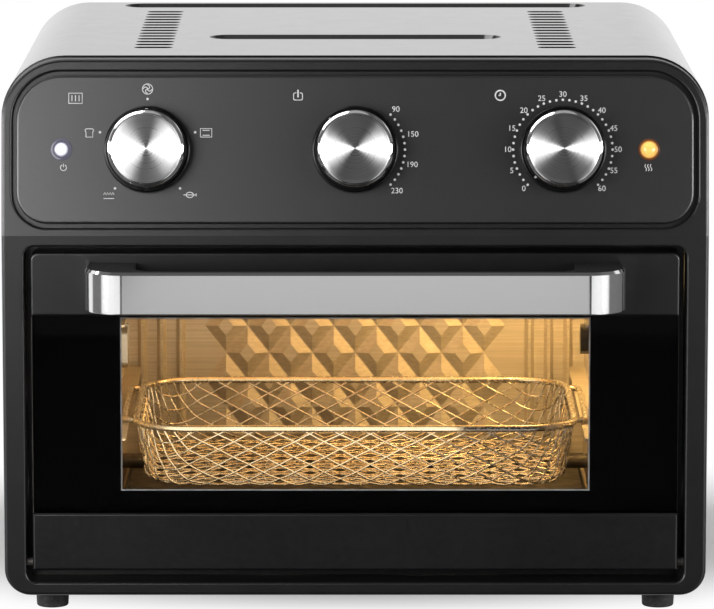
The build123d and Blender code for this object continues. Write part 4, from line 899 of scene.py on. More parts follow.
# %% [markdown]
# ## The basket
#
# The basket is pressed from one flat sheet of woven wire with flat diamonds. A flat pattern could be
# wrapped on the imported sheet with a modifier, but that could stretch the diamonds. Here each point of
# the flat sheet is bent over the form: it stays on the floor inside the floor's outline, and past it
# climbs round the bend and up the leaning wall by the distance it lay outside.

# %% Basket form
WIRE_RADIUS = 0.58 * MM
BASKET_BEND = 8.0 * MM
BASKET_DRAFT = 6.0 * MM
BASKET_CORNER = 32.0 * MM
RIM_SINK = 1.0 * MM

basket_low, basket_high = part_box("basket_mesh")
basket_half = (basket_high - basket_low) / 2
basket_mid = (basket_high + basket_low) / 2
basket_tall = basket_high.z - basket_low.z
wall_lean = pi / 2 - atan(BASKET_DRAFT / basket_tall)
bend_length = BASKET_BEND * wall_lean
wall_length = (basket_tall - BASKET_BEND * (1 - cos(wall_lean))) / sin(wall_lean)
wall_reach = BASKET_BEND * sin(wall_lean) + wall_length * cos(wall_lean)
floor_half_x = basket_half.x - WIRE_RADIUS - wall_reach
floor_half_y = basket_half.y - WIRE_RADIUS - wall_reach
floor_corner = BASKET_CORNER - wall_reach
sheet_edge = bend_length + wall_length + RIM_SINK


def floor_distance(x, y):
    """Distance of a flat point outside the floor's rounded outline, and the way out from it."""
    past_x = abs(x) - floor_half_x + floor_corner
    past_y = abs(y) - floor_half_y + floor_corner
    out = Vector((max(past_x, 0), max(past_y, 0)))
    distance = out.length + min(max(past_x, past_y), 0) - floor_corner
    if out.length == 0:
        out = Vector((1, 0)) if past_x > past_y else Vector((0, 1))
    out.normalize()
    return distance, Vector((out.x if x > 0 else -out.x, out.y if y > 0 else -out.y))


def basket_point(x, y, rise):
    """Bends a flat point over the form; rise lifts it off the sheet. None past the sheet's edge."""
    distance, out = floor_distance(x, y)
    if distance > sheet_edge:
        return None
    turn = min(max(distance / BASKET_BEND, 0), wall_lean)
    wall = max(distance - bend_length, 0)
    reach = min(distance, 0) + BASKET_BEND * sin(turn) + wall * cos(wall_lean)
    height = BASKET_BEND * (1 - cos(turn)) + wall * sin(wall_lean)
    edge = Vector((x, y)) - out * distance
    flat = edge + out * (reach - rise * sin(turn))
    return Vector((flat.x, flat.y + basket_mid.y, basket_low.z + WIRE_RADIUS + height + rise * cos(turn)))


floor_size = f"{2 * floor_half_x / MM:.0f} by {2 * floor_half_y / MM:.0f} mm"
print(f"basket floor {floor_size}, height {basket_tall / MM:.0f} mm")

# %% [markdown]
# ### Laying out the wires
#
# Straight wires are laid both ways over the flat sheet, and their points go through the form. At the
# corners the sheet is drawn together, so the wires crowd and stand steeper, as they do in the
# picture. Where wires cross, one rises over the other.

# %% Basket lines
MESH_WIDE = 17.6 * MM
MESH_TALL = 9.4 * MM
WEAVE = 0.42 * MM
WIRE_STEP = 2.4 * MM

side = hypot(MESH_WIDE, MESH_TALL) / 2
slope_x = MESH_WIDE / 2 / side
slope_y = MESH_TALL / 2 / side
sheet_half = floor_half_x + sheet_edge
half_count = ceil((sheet_half + floor_half_y + sheet_edge) / MESH_TALL) + 1
step_count = ceil(2 * sheet_half / slope_x / WIRE_STEP)

wire_points = []
wire_edges = []
for lean in (-1, 1):
    for line in range(-half_count, half_count + 1):
        last = None
        for step in range(step_count + 1):
            run = step * WIRE_STEP - sheet_half / slope_x
            rise = lean * WEAVE * (1 if line % 2 else -1) * cos(pi * run / side)
            point = basket_point(run * slope_x, line * MESH_TALL + lean * run * slope_y, rise)
            if point is not None:
                wire_points.append(point)
                if last is not None:
                    wire_edges.append((last, len(wire_points) - 1))
            last = len(wire_points) - 1 if point is not None else None
print("basket of", len(wire_edges), "wire steps")

# %% [markdown]
# ### Round wire
#
# Lines become wire when a circle is swept along them. A bevelled curve would do it too; a small tree
# has the radius and the number of sides as named inputs, and the printed lines of the panel use it
# again. Six sides are enough for wire of about a millimetre.

# %% Basket wires
WIRE_SIDES = 6

wire_tree, given, result = node_tree("round_wire", {"Wire Radius": WIRE_RADIUS, "Sides": WIRE_SIDES})
strands = add_node(wire_tree, "GeometryNodeMeshToCurve", {"Mesh": given.outputs["Geometry"]})
section = add_node(
    wire_tree,
    "GeometryNodeCurvePrimitiveCircle",
    {"Resolution": given.outputs["Sides"], "Radius": given.outputs["Wire Radius"]},
)
tube = add_node(
    wire_tree,
    "GeometryNodeCurveToMesh",
    {"Curve": strands.outputs[0], "Profile Curve": section.outputs[0], "Fill Caps": True},
)
smooth = add_node(wire_tree, "GeometryNodeSetShadeSmooth", {"Geometry": tube.outputs[0]})
close_tree(wire_tree, smooth.outputs[0], given, result)

wires = grown(
    wire_tree,
    wire_points,
    wire_edges,
    FINISHES["basket_chrome"],
    Wire_Radius=WIRE_RADIUS,
    Sides=WIRE_SIDES,
)
new_piece("basket_wires", wires, "basket", ["basket_mesh"])
print("basket wires with", len(wires.polygons), "faces")

# %% [markdown]
# ## Turned shapes
#
# Knob caps and lamps are turned: a profile swept round an axis. Blender's Screw modifier could sweep
# it. The rings are joined here instead, because each band can then have a material of its own and a
# UV map that holds the radius and the angle.

# %% Turned shapes
LATHE_SEGMENTS = 96
LATHE_SHARP = radians(30)


def axis_frame(joint):
    """Frame on a knob's axis: X to the right, Y up the panel, Z out of the panel."""
    out = -Vector(joint["axis"])
    right = Vector((1, 0, 0))
    up = out.cross(right)
    turned = Matrix((right, up, out)).transposed().to_4x4()
    return Matrix.Translation(joint["pos_m"]) @ turned


def local_box(node, place):
    """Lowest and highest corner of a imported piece, measured in a given frame."""
    back = place.inverted()
    corners = [back @ v.co for v in nodes[node].data.vertices]
    low = Vector([min(c[axis] for c in corners) for axis in range(3)])
    high = Vector([max(c[axis] for c in corners) for axis in range(3)])
    return low, high


def turned_mesh(profile, place, materials, scale, segments=LATHE_SEGMENTS, sharp=LATHE_SHARP):
    """Turns a profile of (radius, height, material) round Z; each entry starts a band."""
    work = bmesh.new()
    across = work.loops.layers.uv.new("across")
    rings = []
    for radius, height, _ in profile:
        count = segments if radius > 0 else 1
        angles = [2 * pi * k / segments for k in range(count)]
        rings.append([work.verts.new((radius * cos(a), radius * sin(a), height)) for a in angles])
    for band in range(len(profile) - 1):
        inner, outer = rings[band], rings[band + 1]
        for k in range(segments):
            after = (k + 1) % segments
            if len(inner) == 1:
                corners = [(inner[0], 0, k + 0.5), (outer[k], 1, k), (outer[after], 1, k + 1)]
            elif len(outer) == 1:
                corners = [(inner[k], 0, k), (outer[0], 1, k + 0.5), (inner[after], 0, k + 1)]
            else:
                near, far = (inner[k], 0, k), (inner[after], 0, k + 1)
                corners = [near, (outer[k], 1, k), (outer[after], 1, k + 1), far]
            face = work.faces.new([corner[0] for corner in corners])
            face.material_index = profile[band][2]
            face.smooth = True
            for loop, (_, ring, turn) in zip(face.loops, corners):
                loop[across].uv = (profile[band + ring][0] / scale, turn / segments)
    bmesh.ops.recalc_face_normals(work, faces=work.faces)
    work.transform(place)
    mesh = bpy.data.meshes.new("turned")
    work.to_mesh(mesh)
    work.free()
    mesh.set_sharp_from_angle(angle=sharp)
    for material in materials:
        mesh.materials.append(material)
    return mesh


print("helpers for turned shapes")

# %% [markdown]
# ## The knob caps
#
# Each knob has a cap of spun steel with a polished bevel. The tangent of its UV map points outwards
# from the centre, across the marks of the lathe, so the shader spreads highlights into a bow tie. A
# bump of fine rings could spread them too, but it would shimmer at this size.

# %% Knob caps
CONTROLS = ("function", "temperature", "timer")
CAP_BEVEL = 1.9 * MM
CAP_EDGE = 0.15 * MM
FACE_RINGS = 8
CAP_FACE = 0
CAP_CHROME = 1

for control in CONTROLS:
    place = axis_frame(joints[f"{control}_turn"])
    low, high = local_box(f"{control}_knob_cap", place)
    radius = (high.x - low.x) / 2
    flat = radius - CAP_BEVEL - CAP_EDGE
    profile = [(flat * k / FACE_RINGS, high.z, CAP_FACE) for k in range(FACE_RINGS)]
    profile += [
        (flat, high.z, CAP_CHROME),
        (flat + 2 * CAP_EDGE, high.z - CAP_EDGE, CAP_CHROME),
        (radius - CAP_EDGE, high.z - CAP_BEVEL + CAP_EDGE / 2, CAP_CHROME),
        (radius, high.z - CAP_BEVEL - CAP_EDGE, CAP_CHROME),
        (radius, low.z, CAP_CHROME),
        (0, low.z, CAP_CHROME),
    ]
    cap = turned_mesh(profile, place, [FINISHES["knob_steel"], chrome], radius)
    new_piece(f"{control}_cap", cap, f"{control}_knob", [f"{control}_knob_cap"])
    print(f"{control} cap: radius {radius / MM:.1f} mm, top {high.z / MM:.1f} mm off the face")

# %% [markdown]
# ## The pointers
#
# A short white line runs up the grip of each knob to its cap, so that its position can be read. It
# could be painted in the knob's material, but a thin strap of its own stays sharp.

# %% Pointers
POINTER_ANGLES = {"function": 0, "temperature": -40, "timer": -135}
POINTER_WIDE = 1.2 * MM
POINTER_THICK = 0.25 * MM
SKIRT_TALL = 7.0 * MM
GRIP_INSET = 2.2 * MM
GRIP_DRAFT = 0.42 * MM
POINTER_PROUD = 0.05 * MM
POINTER_LIFT = 0.15 * MM
POINTER_END = 0.3 * MM


def strap_mesh(line, wide, thick, material):
    """A flat strap along points in the XZ plane, thick on the side of +X and +Z."""
    work = bmesh.new()
    rows = []
    for k, (x, z) in enumerate(line):
        before, after = line[max(k - 1, 0)], line[min(k + 1, len(line) - 1)]
        along = Vector((after[0] - before[0], 0, after[1] - before[1])).normalized()
        out = Vector((along.z, 0, -along.x)) * thick
        base = Vector((x, 0, z))
        rows.append([work.verts.new(p) for p in (
            base + Vector((0, -wide / 2, 0)),
            base + Vector((0, wide / 2, 0)),
            base + out + Vector((0, wide / 2, 0)),
            base + out + Vector((0, -wide / 2, 0)),
        )])
    for first, second in zip(rows, rows[1:]):
        for k in range(4):
            work.faces.new((first[k], first[(k + 1) % 4], second[(k + 1) % 4], second[k]))
    work.faces.new(rows[0])
    work.faces.new(reversed(rows[-1]))
    bmesh.ops.recalc_face_normals(work, faces=work.faces)
    mesh = bpy.data.meshes.new("strap")
    work.to_mesh(mesh)
    work.free()
    mesh.materials.append(material)
    return mesh


for control in CONTROLS:
    place = axis_frame(joints[f"{control}_turn"])
    low, high = local_box(f"{control}_knob", place)
    skirt = (high.x - low.x) / 2
    shoulder = low.z + SKIRT_TALL
    grip = skirt - GRIP_INSET
    line = [(grip + POINTER_PROUD, shoulder + POINTER_LIFT), (grip - GRIP_DRAFT, high.z - POINTER_END)]
    pointer = strap_mesh(line, POINTER_WIDE, POINTER_THICK, ink)
    angle = pi / 2 - radians(POINTER_ANGLES[control])
    pointer.transform(place @ Matrix.Rotation(angle, 4, "Z"))
    new_piece(f"{control}_pointer", pointer, f"{control}_knob")
print("pointers at", POINTER_ANGLES)

# %% [markdown]
# ## The indicator lamps
#
# Each lamp is a moulded jewel with a flange, one white and one amber. The facets could be cut from a
# dome; a turned shape with few segments and no smoothing gives the same rows of flats. The dome is
# written as shares of the radius and depths below the top, the flange as shares and heights above
# its underside, in millimetres.

# %% Indicator lamps
JEWEL_FACETS = 24
JEWEL_STEM = 4.8 * MM
JEWEL_SHARP = radians(14)
FLANGE_DEPTH = 3.6 * MM
JEWEL_DOME = ((0, 0), (0.26, 0.1), (0.50, 0.7), (0.66, 1.9))
JEWEL_FLANGE = ((0.70, 0.7), (0.80, 0.9), (0.94, 0.8), (1.0, 0.3), (1.0, 0))

panel_frame = axis_frame(joints["temperature_turn"])
for lamp, slot in (("power_lamp", "white_lens"), ("heating_lamp", "amber_lens")):
    low, high = local_box(lamp, panel_frame)
    middle = panel_frame @ Matrix.Translation(((low.x + high.x) / 2, (low.y + high.y) / 2, 0))
    radius = (high.x - low.x) / 2
    flange = high.z - FLANGE_DEPTH
    profile = [(radius * share, high.z - depth * MM, 0) for share, depth in JEWEL_DOME]
    profile += [(radius * share, flange + height * MM, 0) for share, height in JEWEL_FLANGE]
    profile += [(JEWEL_STEM, flange, 0), (JEWEL_STEM, low.z, 0), (0, low.z, 0)]
    jewel_mesh = turned_mesh(profile, middle, [FINISHES[slot]], radius, JEWEL_FACETS, JEWEL_SHARP)
    new_piece(f"{lamp}_jewel", jewel_mesh, "housing", [lamp])
print("two jewels with", JEWEL_FACETS, "facets a row")

# %% [markdown]
# ## The dial print
#
# The panel is printed in white: scales of dots on arcs, plain numbers, and small line drawings that
# stand for the functions. A texture could carry them, but thin shapes stay sharp at any distance.
# They are drawn on a flat plane and then laid on the panel. Dots are one small disc on many points,
# which is what Instance on Points is for.

# %% Dots
PRINT_THICK = 0.12 * MM
DOT_RADIUS = 0.72 * MM
DOT_SIDES = 14
FUNCTION_RING = 28.6 * MM
SCALE_RING = 28.1 * MM
FUNCTION_ANGLES = [-140, -70, 0, 70, 140]
TEMPERATURE_START = 45.3
TEMPERATURE_END = 134.7
TEMPERATURE_STEPS = 12
TIMER_START = -135
TIMER_STEP = 7.5
TIMER_STEPS = 36

panel_high = local_box("control_panel", panel_frame)[1]
print_plane = panel_frame @ Matrix.Translation((0, 0, panel_high.z))
KNOB_X = {control: joints[f"{control}_turn"]["pos_m"][0] for control in CONTROLS}


def dial_point(control, angle, radius):
    """Place on the panel at a clockwise angle from the top of a dial."""
    return Vector((KNOB_X[control] + radius * sin(radians(angle)), radius * cos(radians(angle)), 0))


temperature_span = TEMPERATURE_END - TEMPERATURE_START
temperature_angles = [
    TEMPERATURE_START + k * temperature_span / TEMPERATURE_STEPS for k in range(TEMPERATURE_STEPS + 1)
]
timer_angles = [TIMER_START + TIMER_STEP * k for k in range(TIMER_STEPS + 1)]
dots = [dial_point("function", angle, FUNCTION_RING) for angle in FUNCTION_ANGLES]
dots += [dial_point("temperature", angle, SCALE_RING) for angle in temperature_angles]
dots += [dial_point("timer", angle, SCALE_RING) for angle in timer_angles]

dot_sizes = {"Dot Radius": DOT_RADIUS, "Thickness": PRINT_THICK, "Sides": DOT_SIDES}
dot_tree, given, result = node_tree("printed_dots", dot_sizes)
disc = add_node(
    dot_tree,
    "GeometryNodeMeshCylinder",
    {
        "Vertices": given.outputs["Sides"],
        "Radius": given.outputs["Dot Radius"],
        "Depth": given.outputs["Thickness"],
    },
)
placed = add_node(
    dot_tree,
    "GeometryNodeInstanceOnPoints",
    {"Points": given.outputs["Geometry"], "Instance": disc.outputs["Mesh"]},
)
close_tree(dot_tree, placed.outputs[0], given, result)
dot_mesh = grown(dot_tree, dots, [], ink, Dot_Radius=DOT_RADIUS, Thickness=PRINT_THICK, Sides=DOT_SIDES)
print(len(dots), "dots")

# %% [markdown]
# ### Numbers
#
# Numbers are text made into meshes. The temperature scale has four of them, and the timer has one at
# every third dot, which is five minutes. Dots and numbers are joined into one piece, since they are
# one print.

# %% Numbers
NUMBER_SIZE = 4.5 * MM
NUMBER_SMOOTHNESS = 4
TEMPERATURE_NUMBERS = (("90", 0, 32.3), ("150", 4, 33.6), ("190", 8, 33.2), ("230", 12, 33.2))
TIMER_RING = 31.2 * MM
DOTS_PER_NUMBER = 3
MINUTES_PER_NUMBER = 5


def number_mesh(text, middle):
    """A number as a thin mesh, centred on a point of the panel."""
    curve = bpy.data.curves.new("number", "FONT")
    curve.body = text
    curve.size = NUMBER_SIZE
    curve.align_x = "CENTER"
    curve.align_y = "CENTER"
    curve.extrude = PRINT_THICK / 2
    curve.resolution_u = NUMBER_SMOOTHNESS
    label = bpy.data.objects.new("number", curve)
    scene.collection.objects.link(label)
    depsgraph = bpy.context.evaluated_depsgraph_get()
    mesh = bpy.data.meshes.new_from_object(label.evaluated_get(depsgraph))
    bpy.data.objects.remove(label)
    mesh.transform(Matrix.Translation(middle))
    mesh.materials.clear()
    mesh.materials.append(ink)
    return mesh


numbers = []
for text, dot, radius in TEMPERATURE_NUMBERS:
    numbers.append(number_mesh(text, dial_point("temperature", temperature_angles[dot], radius * MM)))
for index, angle in enumerate(timer_angles[::DOTS_PER_NUMBER]):
    text = str(MINUTES_PER_NUMBER * index)
    numbers.append(number_mesh(text, dial_point("timer", angle, TIMER_RING)))

scales = joined([dot_mesh, *numbers])
scales.transform(print_plane)
new_piece("dial_scales", scales, "housing")
print(len(numbers), "numbers")

# %% [markdown]
# ### Lines to draw with
#
# The drawings are a few strokes each, so they are written as points in millimetres, with helpers for
# arcs, rectangles and waves. Flat curves could be filled instead, but a stroke needs only its path
# and its width.

# %% Strokes
WAVE_SWING = 0.45
WAVE_STEPS = 14


def arc(x, y, radius, start, end, steps=16):
    """Points of an arc in millimetres; angles in degrees from the right, anticlockwise."""
    angles = [radians(start + (end - start) * k / steps) for k in range(steps + 1)]
    return [(x + radius * cos(a), y + radius * sin(a)) for a in angles]


def frame_line(half_wide, half_tall):
    """A closed rectangle."""
    corners = [(-half_wide, -half_tall), (half_wide, -half_tall), (half_wide, half_tall)]
    return [*corners, (-half_wide, half_tall), (-half_wide, -half_tall)]


def wave(x, low, high):
    """An upright wavy line."""
    parts = [k / WAVE_STEPS for k in range(WAVE_STEPS + 1)]
    return [(x + WAVE_SWING * sin(2 * pi * part), low + (high - low) * part) for part in parts]


print("strokes: arcs, rectangles and waves")

# %% [markdown]
# ### The drawings
#
# Each drawing is the list of its strokes round its own middle. They are generic signs: a fan, an
# oven with its rods, a spit, a grill, a slice of bread, a rack, a thermometer, a clock, a power sign
# and rising heat.

# %% Drawings


def fan_drawing():
    """A ring with four curved blades: the hot-air fan."""
    reach = 1.15
    blades = []
    for k in range(4):
        turn = radians(90 * k)
        blades.append(arc(reach * cos(turn), reach * sin(turn), reach, 180 + 90 * k, 360 + 90 * k))
    return [arc(0, 0, 2.9, 0, 360, 28), *blades]


def toast_drawing():
    """A slice of bread."""
    right = [(-1.9, -2.4), (1.9, -2.4), (1.9, 0.6), *arc(1.5, 1.4, 0.9, -40, 90, 6)]
    left = [*arc(-1.5, 1.4, 0.9, 90, 220, 6), (-1.9, 0.6), (-1.9, -2.4)]
    return [[*right, *left]]


def grill_drawing():
    """A zigzag rod over a tray: heat from above."""
    rod = [(-3 + 0.75 * k, 1.8 if k % 2 else 0.5) for k in range(9)]
    return [rod, [(-3, -1.6), (3, -1.6)]]


def oven_drawing():
    """A cavity with a rod above and below."""
    return [frame_line(3.2, 2.4), [(-2.0, 1.4), (2.0, 1.4)], [(-2.0, -1.4), (2.0, -1.4)]]


def spit_drawing():
    """A roast on a spit."""
    roast = [(x * 2.1, y * 1.5) for x, y in arc(0, 0, 1, 0, 360, 24)]
    return [[(-3.6, 0), (3.6, 0)], roast, [(3.6, -0.8), (3.6, 0.8)]]


def gap_frame_drawing():
    """A rounded frame with a gap at the top."""
    left = [(-0.9, 1.6), (-1.7, 1.6), *arc(-1.7, 0.8, 0.8, 90, 180, 5), *arc(-1.7, -1.6, 0.8, 180, 270, 5)]
    right = [*arc(1.7, -1.6, 0.8, 270, 360, 5), *arc(1.7, 0.8, 0.8, 0, 90, 5), (0.9, 1.6)]
    return [[*left, *right]]


def thermometer_drawing():
    """A thermometer that stands in the frame's gap."""
    return [[(0, 3.4), (0, -0.9)]]


def rack_drawing():
    """A rack with three bars."""
    return [frame_line(3.8, 2.9), *[[(x, -1.7), (x, 1.7)] for x in (-2.0, 0, 2.0)]]


def clock_drawing():
    """A clock face with two hands."""
    return [arc(0, 0, 2.8, 0, 360, 32), [(0, 1.5), (0, 0), (-1.0, 0)]]


def power_drawing():
    """An open ring with a bar in the gap."""
    return [arc(0, 0, 1.7, 120, 420, 24), [(0, 0.3), (0, 2.2)]]


def heat_drawing():
    """Three upright waves: rising heat."""
    return [wave(x, -1.9, 1.9) for x in (-1.5, 0, 1.5)]


print("eleven drawings")

# %% [markdown]
# ### Printing the drawings
#
# Strokes are the same round wire as the basket's, pressed nearly flat. The functions stand round
# their knob, and the other drawings beside the dial or the lamp that they explain.

# %% Printed drawings
LINE_RADIUS = 0.24 * MM
BOLD_RADIUS = 0.42 * MM


def panel_place(x, y):
    """Place on the panel in millimetres from the middle knob's axis."""
    return Vector((x * MM, y * MM, 0))


DRAWINGS = [
    (fan_drawing(), dial_point("function", 0, 34.2 * MM), LINE_RADIUS),
    (oven_drawing(), dial_point("function", 74, 34.4 * MM), LINE_RADIUS),
    (spit_drawing(), dial_point("function", 137, 35.0 * MM), LINE_RADIUS),
    (grill_drawing(), dial_point("function", -140, 34.0 * MM), LINE_RADIUS),
    (toast_drawing(), dial_point("function", -74, 34.2 * MM), LINE_RADIUS),
    (rack_drawing(), panel_place(-158, 29), LINE_RADIUS),
    (gap_frame_drawing(), panel_place(-32.3, 30.4), LINE_RADIUS),
    (thermometer_drawing(), panel_place(-32.3, 30.4), BOLD_RADIUS),
    (clock_drawing(), panel_place(82, 30.6), BOLD_RADIUS),
    (power_drawing(), panel_place(-164.8, -10.2), LINE_RADIUS),
    (heat_drawing(), panel_place(165.6, -10.2), LINE_RADIUS),
]


def line_mesh(lines, middle, radius):
    """Printed lines: round wires along the points, pressed nearly flat."""
    points = []
    edges = []
    for line in lines:
        first = len(points)
        points += [Vector((x * MM, y * MM, 0)) for x, y in line]
        edges += [(k, k + 1) for k in range(first, len(points) - 1)]
    mesh = grown(wire_tree, points, edges, ink, Wire_Radius=radius, Sides=WIRE_SIDES)
    mesh.transform(Matrix.Translation(middle) @ Matrix.Diagonal((1, 1, PRINT_THICK / 2 / radius, 1)))
    return mesh


drawings = joined([line_mesh(*drawing) for drawing in DRAWINGS])
drawings.transform(print_plane)
new_piece("dial_drawings", drawings, "housing")
print(len(DRAWINGS), "drawings on the panel")

# %% [markdown]
# ## The window
#
# The door glass reaches from rail to rail, but only its middle is clear. The rest is printed black
# on the back, and a thin pale line shows where the print ends. A mask in the glass's material could
# do it; two flat frames keep the edge exact. Both lie just inside the back face of the glass and ride
# on the door.

# %% Window print
CLEAR_HALF = 133.5 * MM
CLEAR_LOW = 70.3 * MM
CLEAR_HIGH = 170.2 * MM
LINE_WIDE = 0.8 * MM
FRIT_THICK = 0.15 * MM
FRIT_INSET = 0.05 * MM
FRIT_MARGIN = 0.3 * MM


def upright_ring(outer, inner, front_y, back_y, material):
    """A flat upright frame between two rectangles, each (half width, low, high)."""
    work = bmesh.new()
    corners = []
    for half, low, high in (outer, inner):
        for y in (front_y, back_y):
            ring = ((-half, low), (half, low), (half, high), (-half, high))
            corners.append([work.verts.new((x, y, z)) for x, z in ring])
    outer_front, outer_back, inner_front, inner_back = corners
    for first, second in (
        (outer_front, inner_front),
        (outer_back, inner_back),
        (outer_front, outer_back),
        (inner_front, inner_back),
    ):
        for k in range(4):
            after = (k + 1) % 4
            work.faces.new((first[k], first[after], second[after], second[k]))
    bmesh.ops.recalc_face_normals(work, faces=work.faces)
    mesh = bpy.data.meshes.new("ring")
    work.to_mesh(mesh)
    work.free()
    mesh.materials.append(material)
    return mesh


glass_low, glass_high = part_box("door_glass")
inside_y = glass_high.y - FRIT_INSET
clear = (CLEAR_HALF, CLEAR_LOW, CLEAR_HIGH)
edge_line = (CLEAR_HALF - LINE_WIDE, CLEAR_LOW + LINE_WIDE, CLEAR_HIGH - LINE_WIDE)
whole = (glass_high.x - FRIT_MARGIN, glass_low.z + FRIT_MARGIN, glass_high.z - FRIT_MARGIN)
frit_mesh = upright_ring(whole, clear, inside_y - FRIT_THICK, inside_y, frit)
new_piece("window_print", frit_mesh, "door")
line_ring = upright_ring(clear, edge_line, inside_y - FRIT_THICK, inside_y, FINISHES["zinc_steel"])
new_piece("window_edge_line", line_ring, "door")
print(f"clear window {2 * CLEAR_HALF / MM:.0f} by {(CLEAR_HIGH - CLEAR_LOW) / MM:.0f} mm")

# %% [markdown]
# ## The handle strip
#
# The handle is a steel strip bent round a plastic core. Its plan is straight runs joined by two
# quarter circles, and its section is a thin rectangle with a bevel along the upper front edge and
# rounding at the other edges. Smooth shading bends the normals of a face towards its neighbours, so
# the outline has a holding point just before and after each rounding, which keeps the flats flat.

# %% Handle plan and section
HANDLE_BEND = 22.0 * MM
STRIP_THICK = 2.0 * MM
STRIP_EDGE = 0.45 * MM
STRIP_HOLD = 0.25 * MM
STRIP_BEVEL_TALL = 1.7 * MM
STRIP_BEVEL_DEEP = 1.1 * MM
BEND_STEPS = 20
EDGE_STEPS = 4

strip_low, strip_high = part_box("handle_strip")
strip_half = strip_high.x - STRIP_THICK / 2
strip_front = strip_low.y + STRIP_THICK / 2
strip_bend = HANDLE_BEND - STRIP_THICK / 2
strip_mid_z = (strip_low.z + strip_high.z) / 2


def strip_plan():
    """Points of the strip's plan from left to right, each with its way out."""
    stations = [(Vector((-strip_half, strip_high.y)), Vector((-1, 0)))]
    for sign, start in ((-1, 180), (1, 270)):
        middle = Vector((sign * (strip_half - strip_bend), strip_front + strip_bend))
        for k in range(BEND_STEPS + 1):
            angle = radians(start + 90 * k / BEND_STEPS)
            out = Vector((cos(angle), sin(angle)))
            stations.append((middle + strip_bend * out, out))
    stations.append((Vector((strip_half, strip_high.y)), Vector((1, 0))))
    return stations


def strip_section():
    """Outline of the strip's section: out of the handle, and up."""
    half_thick = STRIP_THICK / 2
    half_tall = (strip_high.z - strip_low.z) / 2
    outline = [(half_thick, half_tall - STRIP_BEVEL_TALL), (half_thick - STRIP_BEVEL_DEEP, half_tall)]
    for quarter, (out, up) in enumerate(((-1, 1), (-1, -1), (1, -1)), start=1):
        middle = Vector((out * (half_thick - STRIP_EDGE), up * (half_tall - STRIP_EDGE)))
        angles = [radians(90 * quarter + 90 * k / EDGE_STEPS) for k in range(EDGE_STEPS + 1)]
        arc_points = [middle + STRIP_EDGE * Vector((cos(a), sin(a))) for a in angles]
        before = arc_points[0] + STRIP_HOLD * Vector((sin(angles[0]), -cos(angles[0])))
        after = arc_points[-1] + STRIP_HOLD * Vector((-sin(angles[-1]), cos(angles[-1])))
        outline += [tuple(point) for point in (before, *arc_points, after)]
    return outline


print(len(strip_plan()), "stations,", len(strip_section()), "points in the section")

# %% [markdown]
# ### Sweeping the strip
#
# The section is carried along the plan, and each ring of points is joined to the next. A curve with
# a bevel object could do this, but here the UV map can be laid as the brushing needs it: it runs
# across the strip, so the tangent points up the strip and the brushing lies along it.

# %% Handle strip
STRIP_SHARP = radians(28)


def swept_strip():
    """The section swept along the plan."""
    work = bmesh.new()
    across = work.loops.layers.uv.new("across")
    outline = strip_section()
    rings = []
    for spot, out in strip_plan():
        ring = []
        for a, b in outline:
            flat = spot + out * a
            ring.append(work.verts.new((flat.x, flat.y, strip_mid_z + b)))
        rings.append(ring)
    count = len(outline)
    for station in range(len(rings) - 1):
        for k in range(count):
            after = (k + 1) % count
            near, far = rings[station], rings[station + 1]
            face = work.faces.new((near[k], near[after], far[after], far[k]))
            face.smooth = True
            turns = ((k, station), (k + 1, station), (k + 1, station + 1), (k, station + 1))
            for loop, (u, v) in zip(face.loops, turns):
                loop[across].uv = (u / count, v / len(rings))
    work.faces.new(rings[0])
    work.faces.new(reversed(rings[-1]))
    bmesh.ops.recalc_face_normals(work, faces=work.faces)
    mesh = bpy.data.meshes.new("strip")
    work.to_mesh(mesh)
    work.free()
    mesh.set_sharp_from_angle(angle=STRIP_SHARP)
    mesh.materials.append(FINISHES["handle_steel"])
    return mesh


strip = swept_strip()
new_piece("handle_bent_strip", strip, "door", ["handle_strip"])
print("handle strip with", len(strip.polygons), "faces")

# %% [markdown]
# ## Screws of the rear cover
#
# Six cross-head screws hold the cover at the back. One head is a short cone with a cross cut out of
# it by a boolean, and the tree puts it on every screw's place.

# %% Rear screws
SCREW_PLACES = [(x * MM, z * MM) for x in (-170, 170) for z in (50.5, 160.5, 272.5)]
SCREW_HEAD = 3.2 * MM
SCREW_SIDES = 24
CROWN_SHARE = 0.72
screw_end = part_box("cover_screws")[1].y
cover_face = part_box("back_panel")[1].y
screw_tall = screw_end - cover_face

screw_sizes = {
    "Head Radius": SCREW_HEAD,
    "Head Height": screw_tall,
    "Cross Length": 3.8 * MM,
    "Cross Width": 0.9 * MM,
}
screw_tree, given, result = node_tree("cross_head_screws", screw_sizes)
crown = math(screw_tree, "MULTIPLY", given.outputs["Head Radius"], CROWN_SHARE)
head = add_node(
    screw_tree,
    "GeometryNodeMeshCone",
    {
        "Vertices": SCREW_SIDES,
        "Radius Top": crown,
        "Radius Bottom": given.outputs["Head Radius"],
        "Depth": given.outputs["Head Height"],
    },
)
bars = []
for along_x, along_y in (("Cross Length", "Cross Width"), ("Cross Width", "Cross Length")):
    size = add_node(
        screw_tree,
        "ShaderNodeCombineXYZ",
        {
            "X": given.outputs[along_x],
            "Y": given.outputs[along_y],
            "Z": given.outputs["Head Height"],
        },
    )
    bar = add_node(screw_tree, "GeometryNodeMeshCube", {"Size": size.outputs[0]})
    lift = add_node(screw_tree, "ShaderNodeCombineXYZ", {"Z": given.outputs["Head Height"]})
    raised = add_node(
        screw_tree,
        "GeometryNodeTransform",
        {"Geometry": bar.outputs["Mesh"], "Translation": lift.outputs[0]},
    )
    bars.append(raised.outputs[0])
cut = add_node(screw_tree, "GeometryNodeMeshBoolean", operation="DIFFERENCE")
screw_tree.links.new(head.outputs["Mesh"], cut.inputs["Mesh 1"])
for bar in bars:
    screw_tree.links.new(bar, cut.inputs["Mesh 2"])
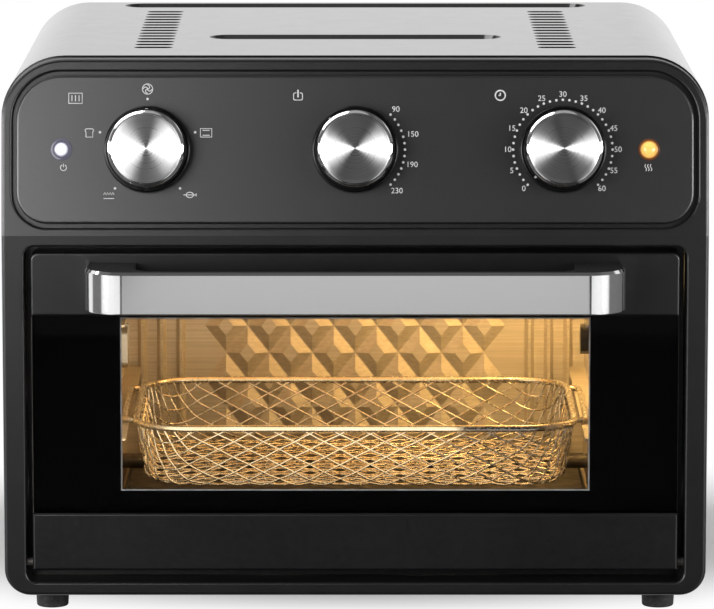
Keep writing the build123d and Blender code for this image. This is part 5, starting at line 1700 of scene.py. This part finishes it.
stood = add_node(
    screw_tree, "GeometryNodeTransform", {"Geometry": cut.outputs["Mesh"], "Rotation": (-pi / 2, 0, 0)}
)
fixed = add_node(
    screw_tree,
    "GeometryNodeInstanceOnPoints",
    {"Points": given.outputs["Geometry"], "Instance": stood.outputs[0]},
)
close_tree(screw_tree, fixed.outputs[0], given, result)
screw_points = [Vector((x, cover_face, z)) for x, z in SCREW_PLACES]
screws = grown(
    screw_tree, screw_points, [], FINISHES["zinc_steel"], Head_Radius=SCREW_HEAD, Head_Height=screw_tall
)
new_piece("cross_head_screws", screws, "housing", ["cover_screws"])
print(len(SCREW_PLACES), "screws,", len(screws.polygons), "faces")

# %% [markdown]
# ## Light in the cavity
#
# The oven lamp sits in the right wall, so the cavity is brighter on the right. A small warm lamp
# stands for it, and a weak strip under the ceiling stands for the glow of the rods. Studio light
# also comes in through the glass; a pale strip just behind the door stands for it and picks out the
# near wires of the basket.

# %% Cavity lamps
WARM = (1.0, 0.62, 0.20)
ROD_GLOW = (1.0, 0.46, 0.11)
THROUGH_GLASS = (1.0, 0.80, 0.50)
BULB_POWER = 0.66
BULB_RADIUS = 0.012
BULB_INWARD = 0.03
BULB_FORWARD = 0.06

cover_low, cover_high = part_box("lamp_cover")
cover_middle = (cover_low + cover_high) / 2
bulb_data = bpy.data.lights.new("oven_bulb", "POINT")
bulb_data.energy = BULB_POWER
bulb_data.color = WARM
bulb_data.shadow_soft_size = BULB_RADIUS
bulb = bpy.data.objects.new("oven_bulb", bulb_data)
bulb.location = (cover_low.x - BULB_INWARD, cover_middle.y - BULB_FORWARD, cover_middle.z)
bulb.visible_camera = False
bulb.visible_transmission = False
scene.collection.objects.link(bulb)
soft_lamp(
    "rod_glow", (0, 0.02, 0.182), (0, 0.02, 0), wide=0.22, tall=0.16, power=0.15, colour=ROD_GLOW
)
soft_lamp(
    "glass_light",
    (-0.05, -0.127, 0.12),
    (-0.05, 0, 0.12),
    wide=0.22,
    tall=0.10,
    power=0.13,
    colour=THROUGH_GLASS,
)
print("warm light in the cavity")
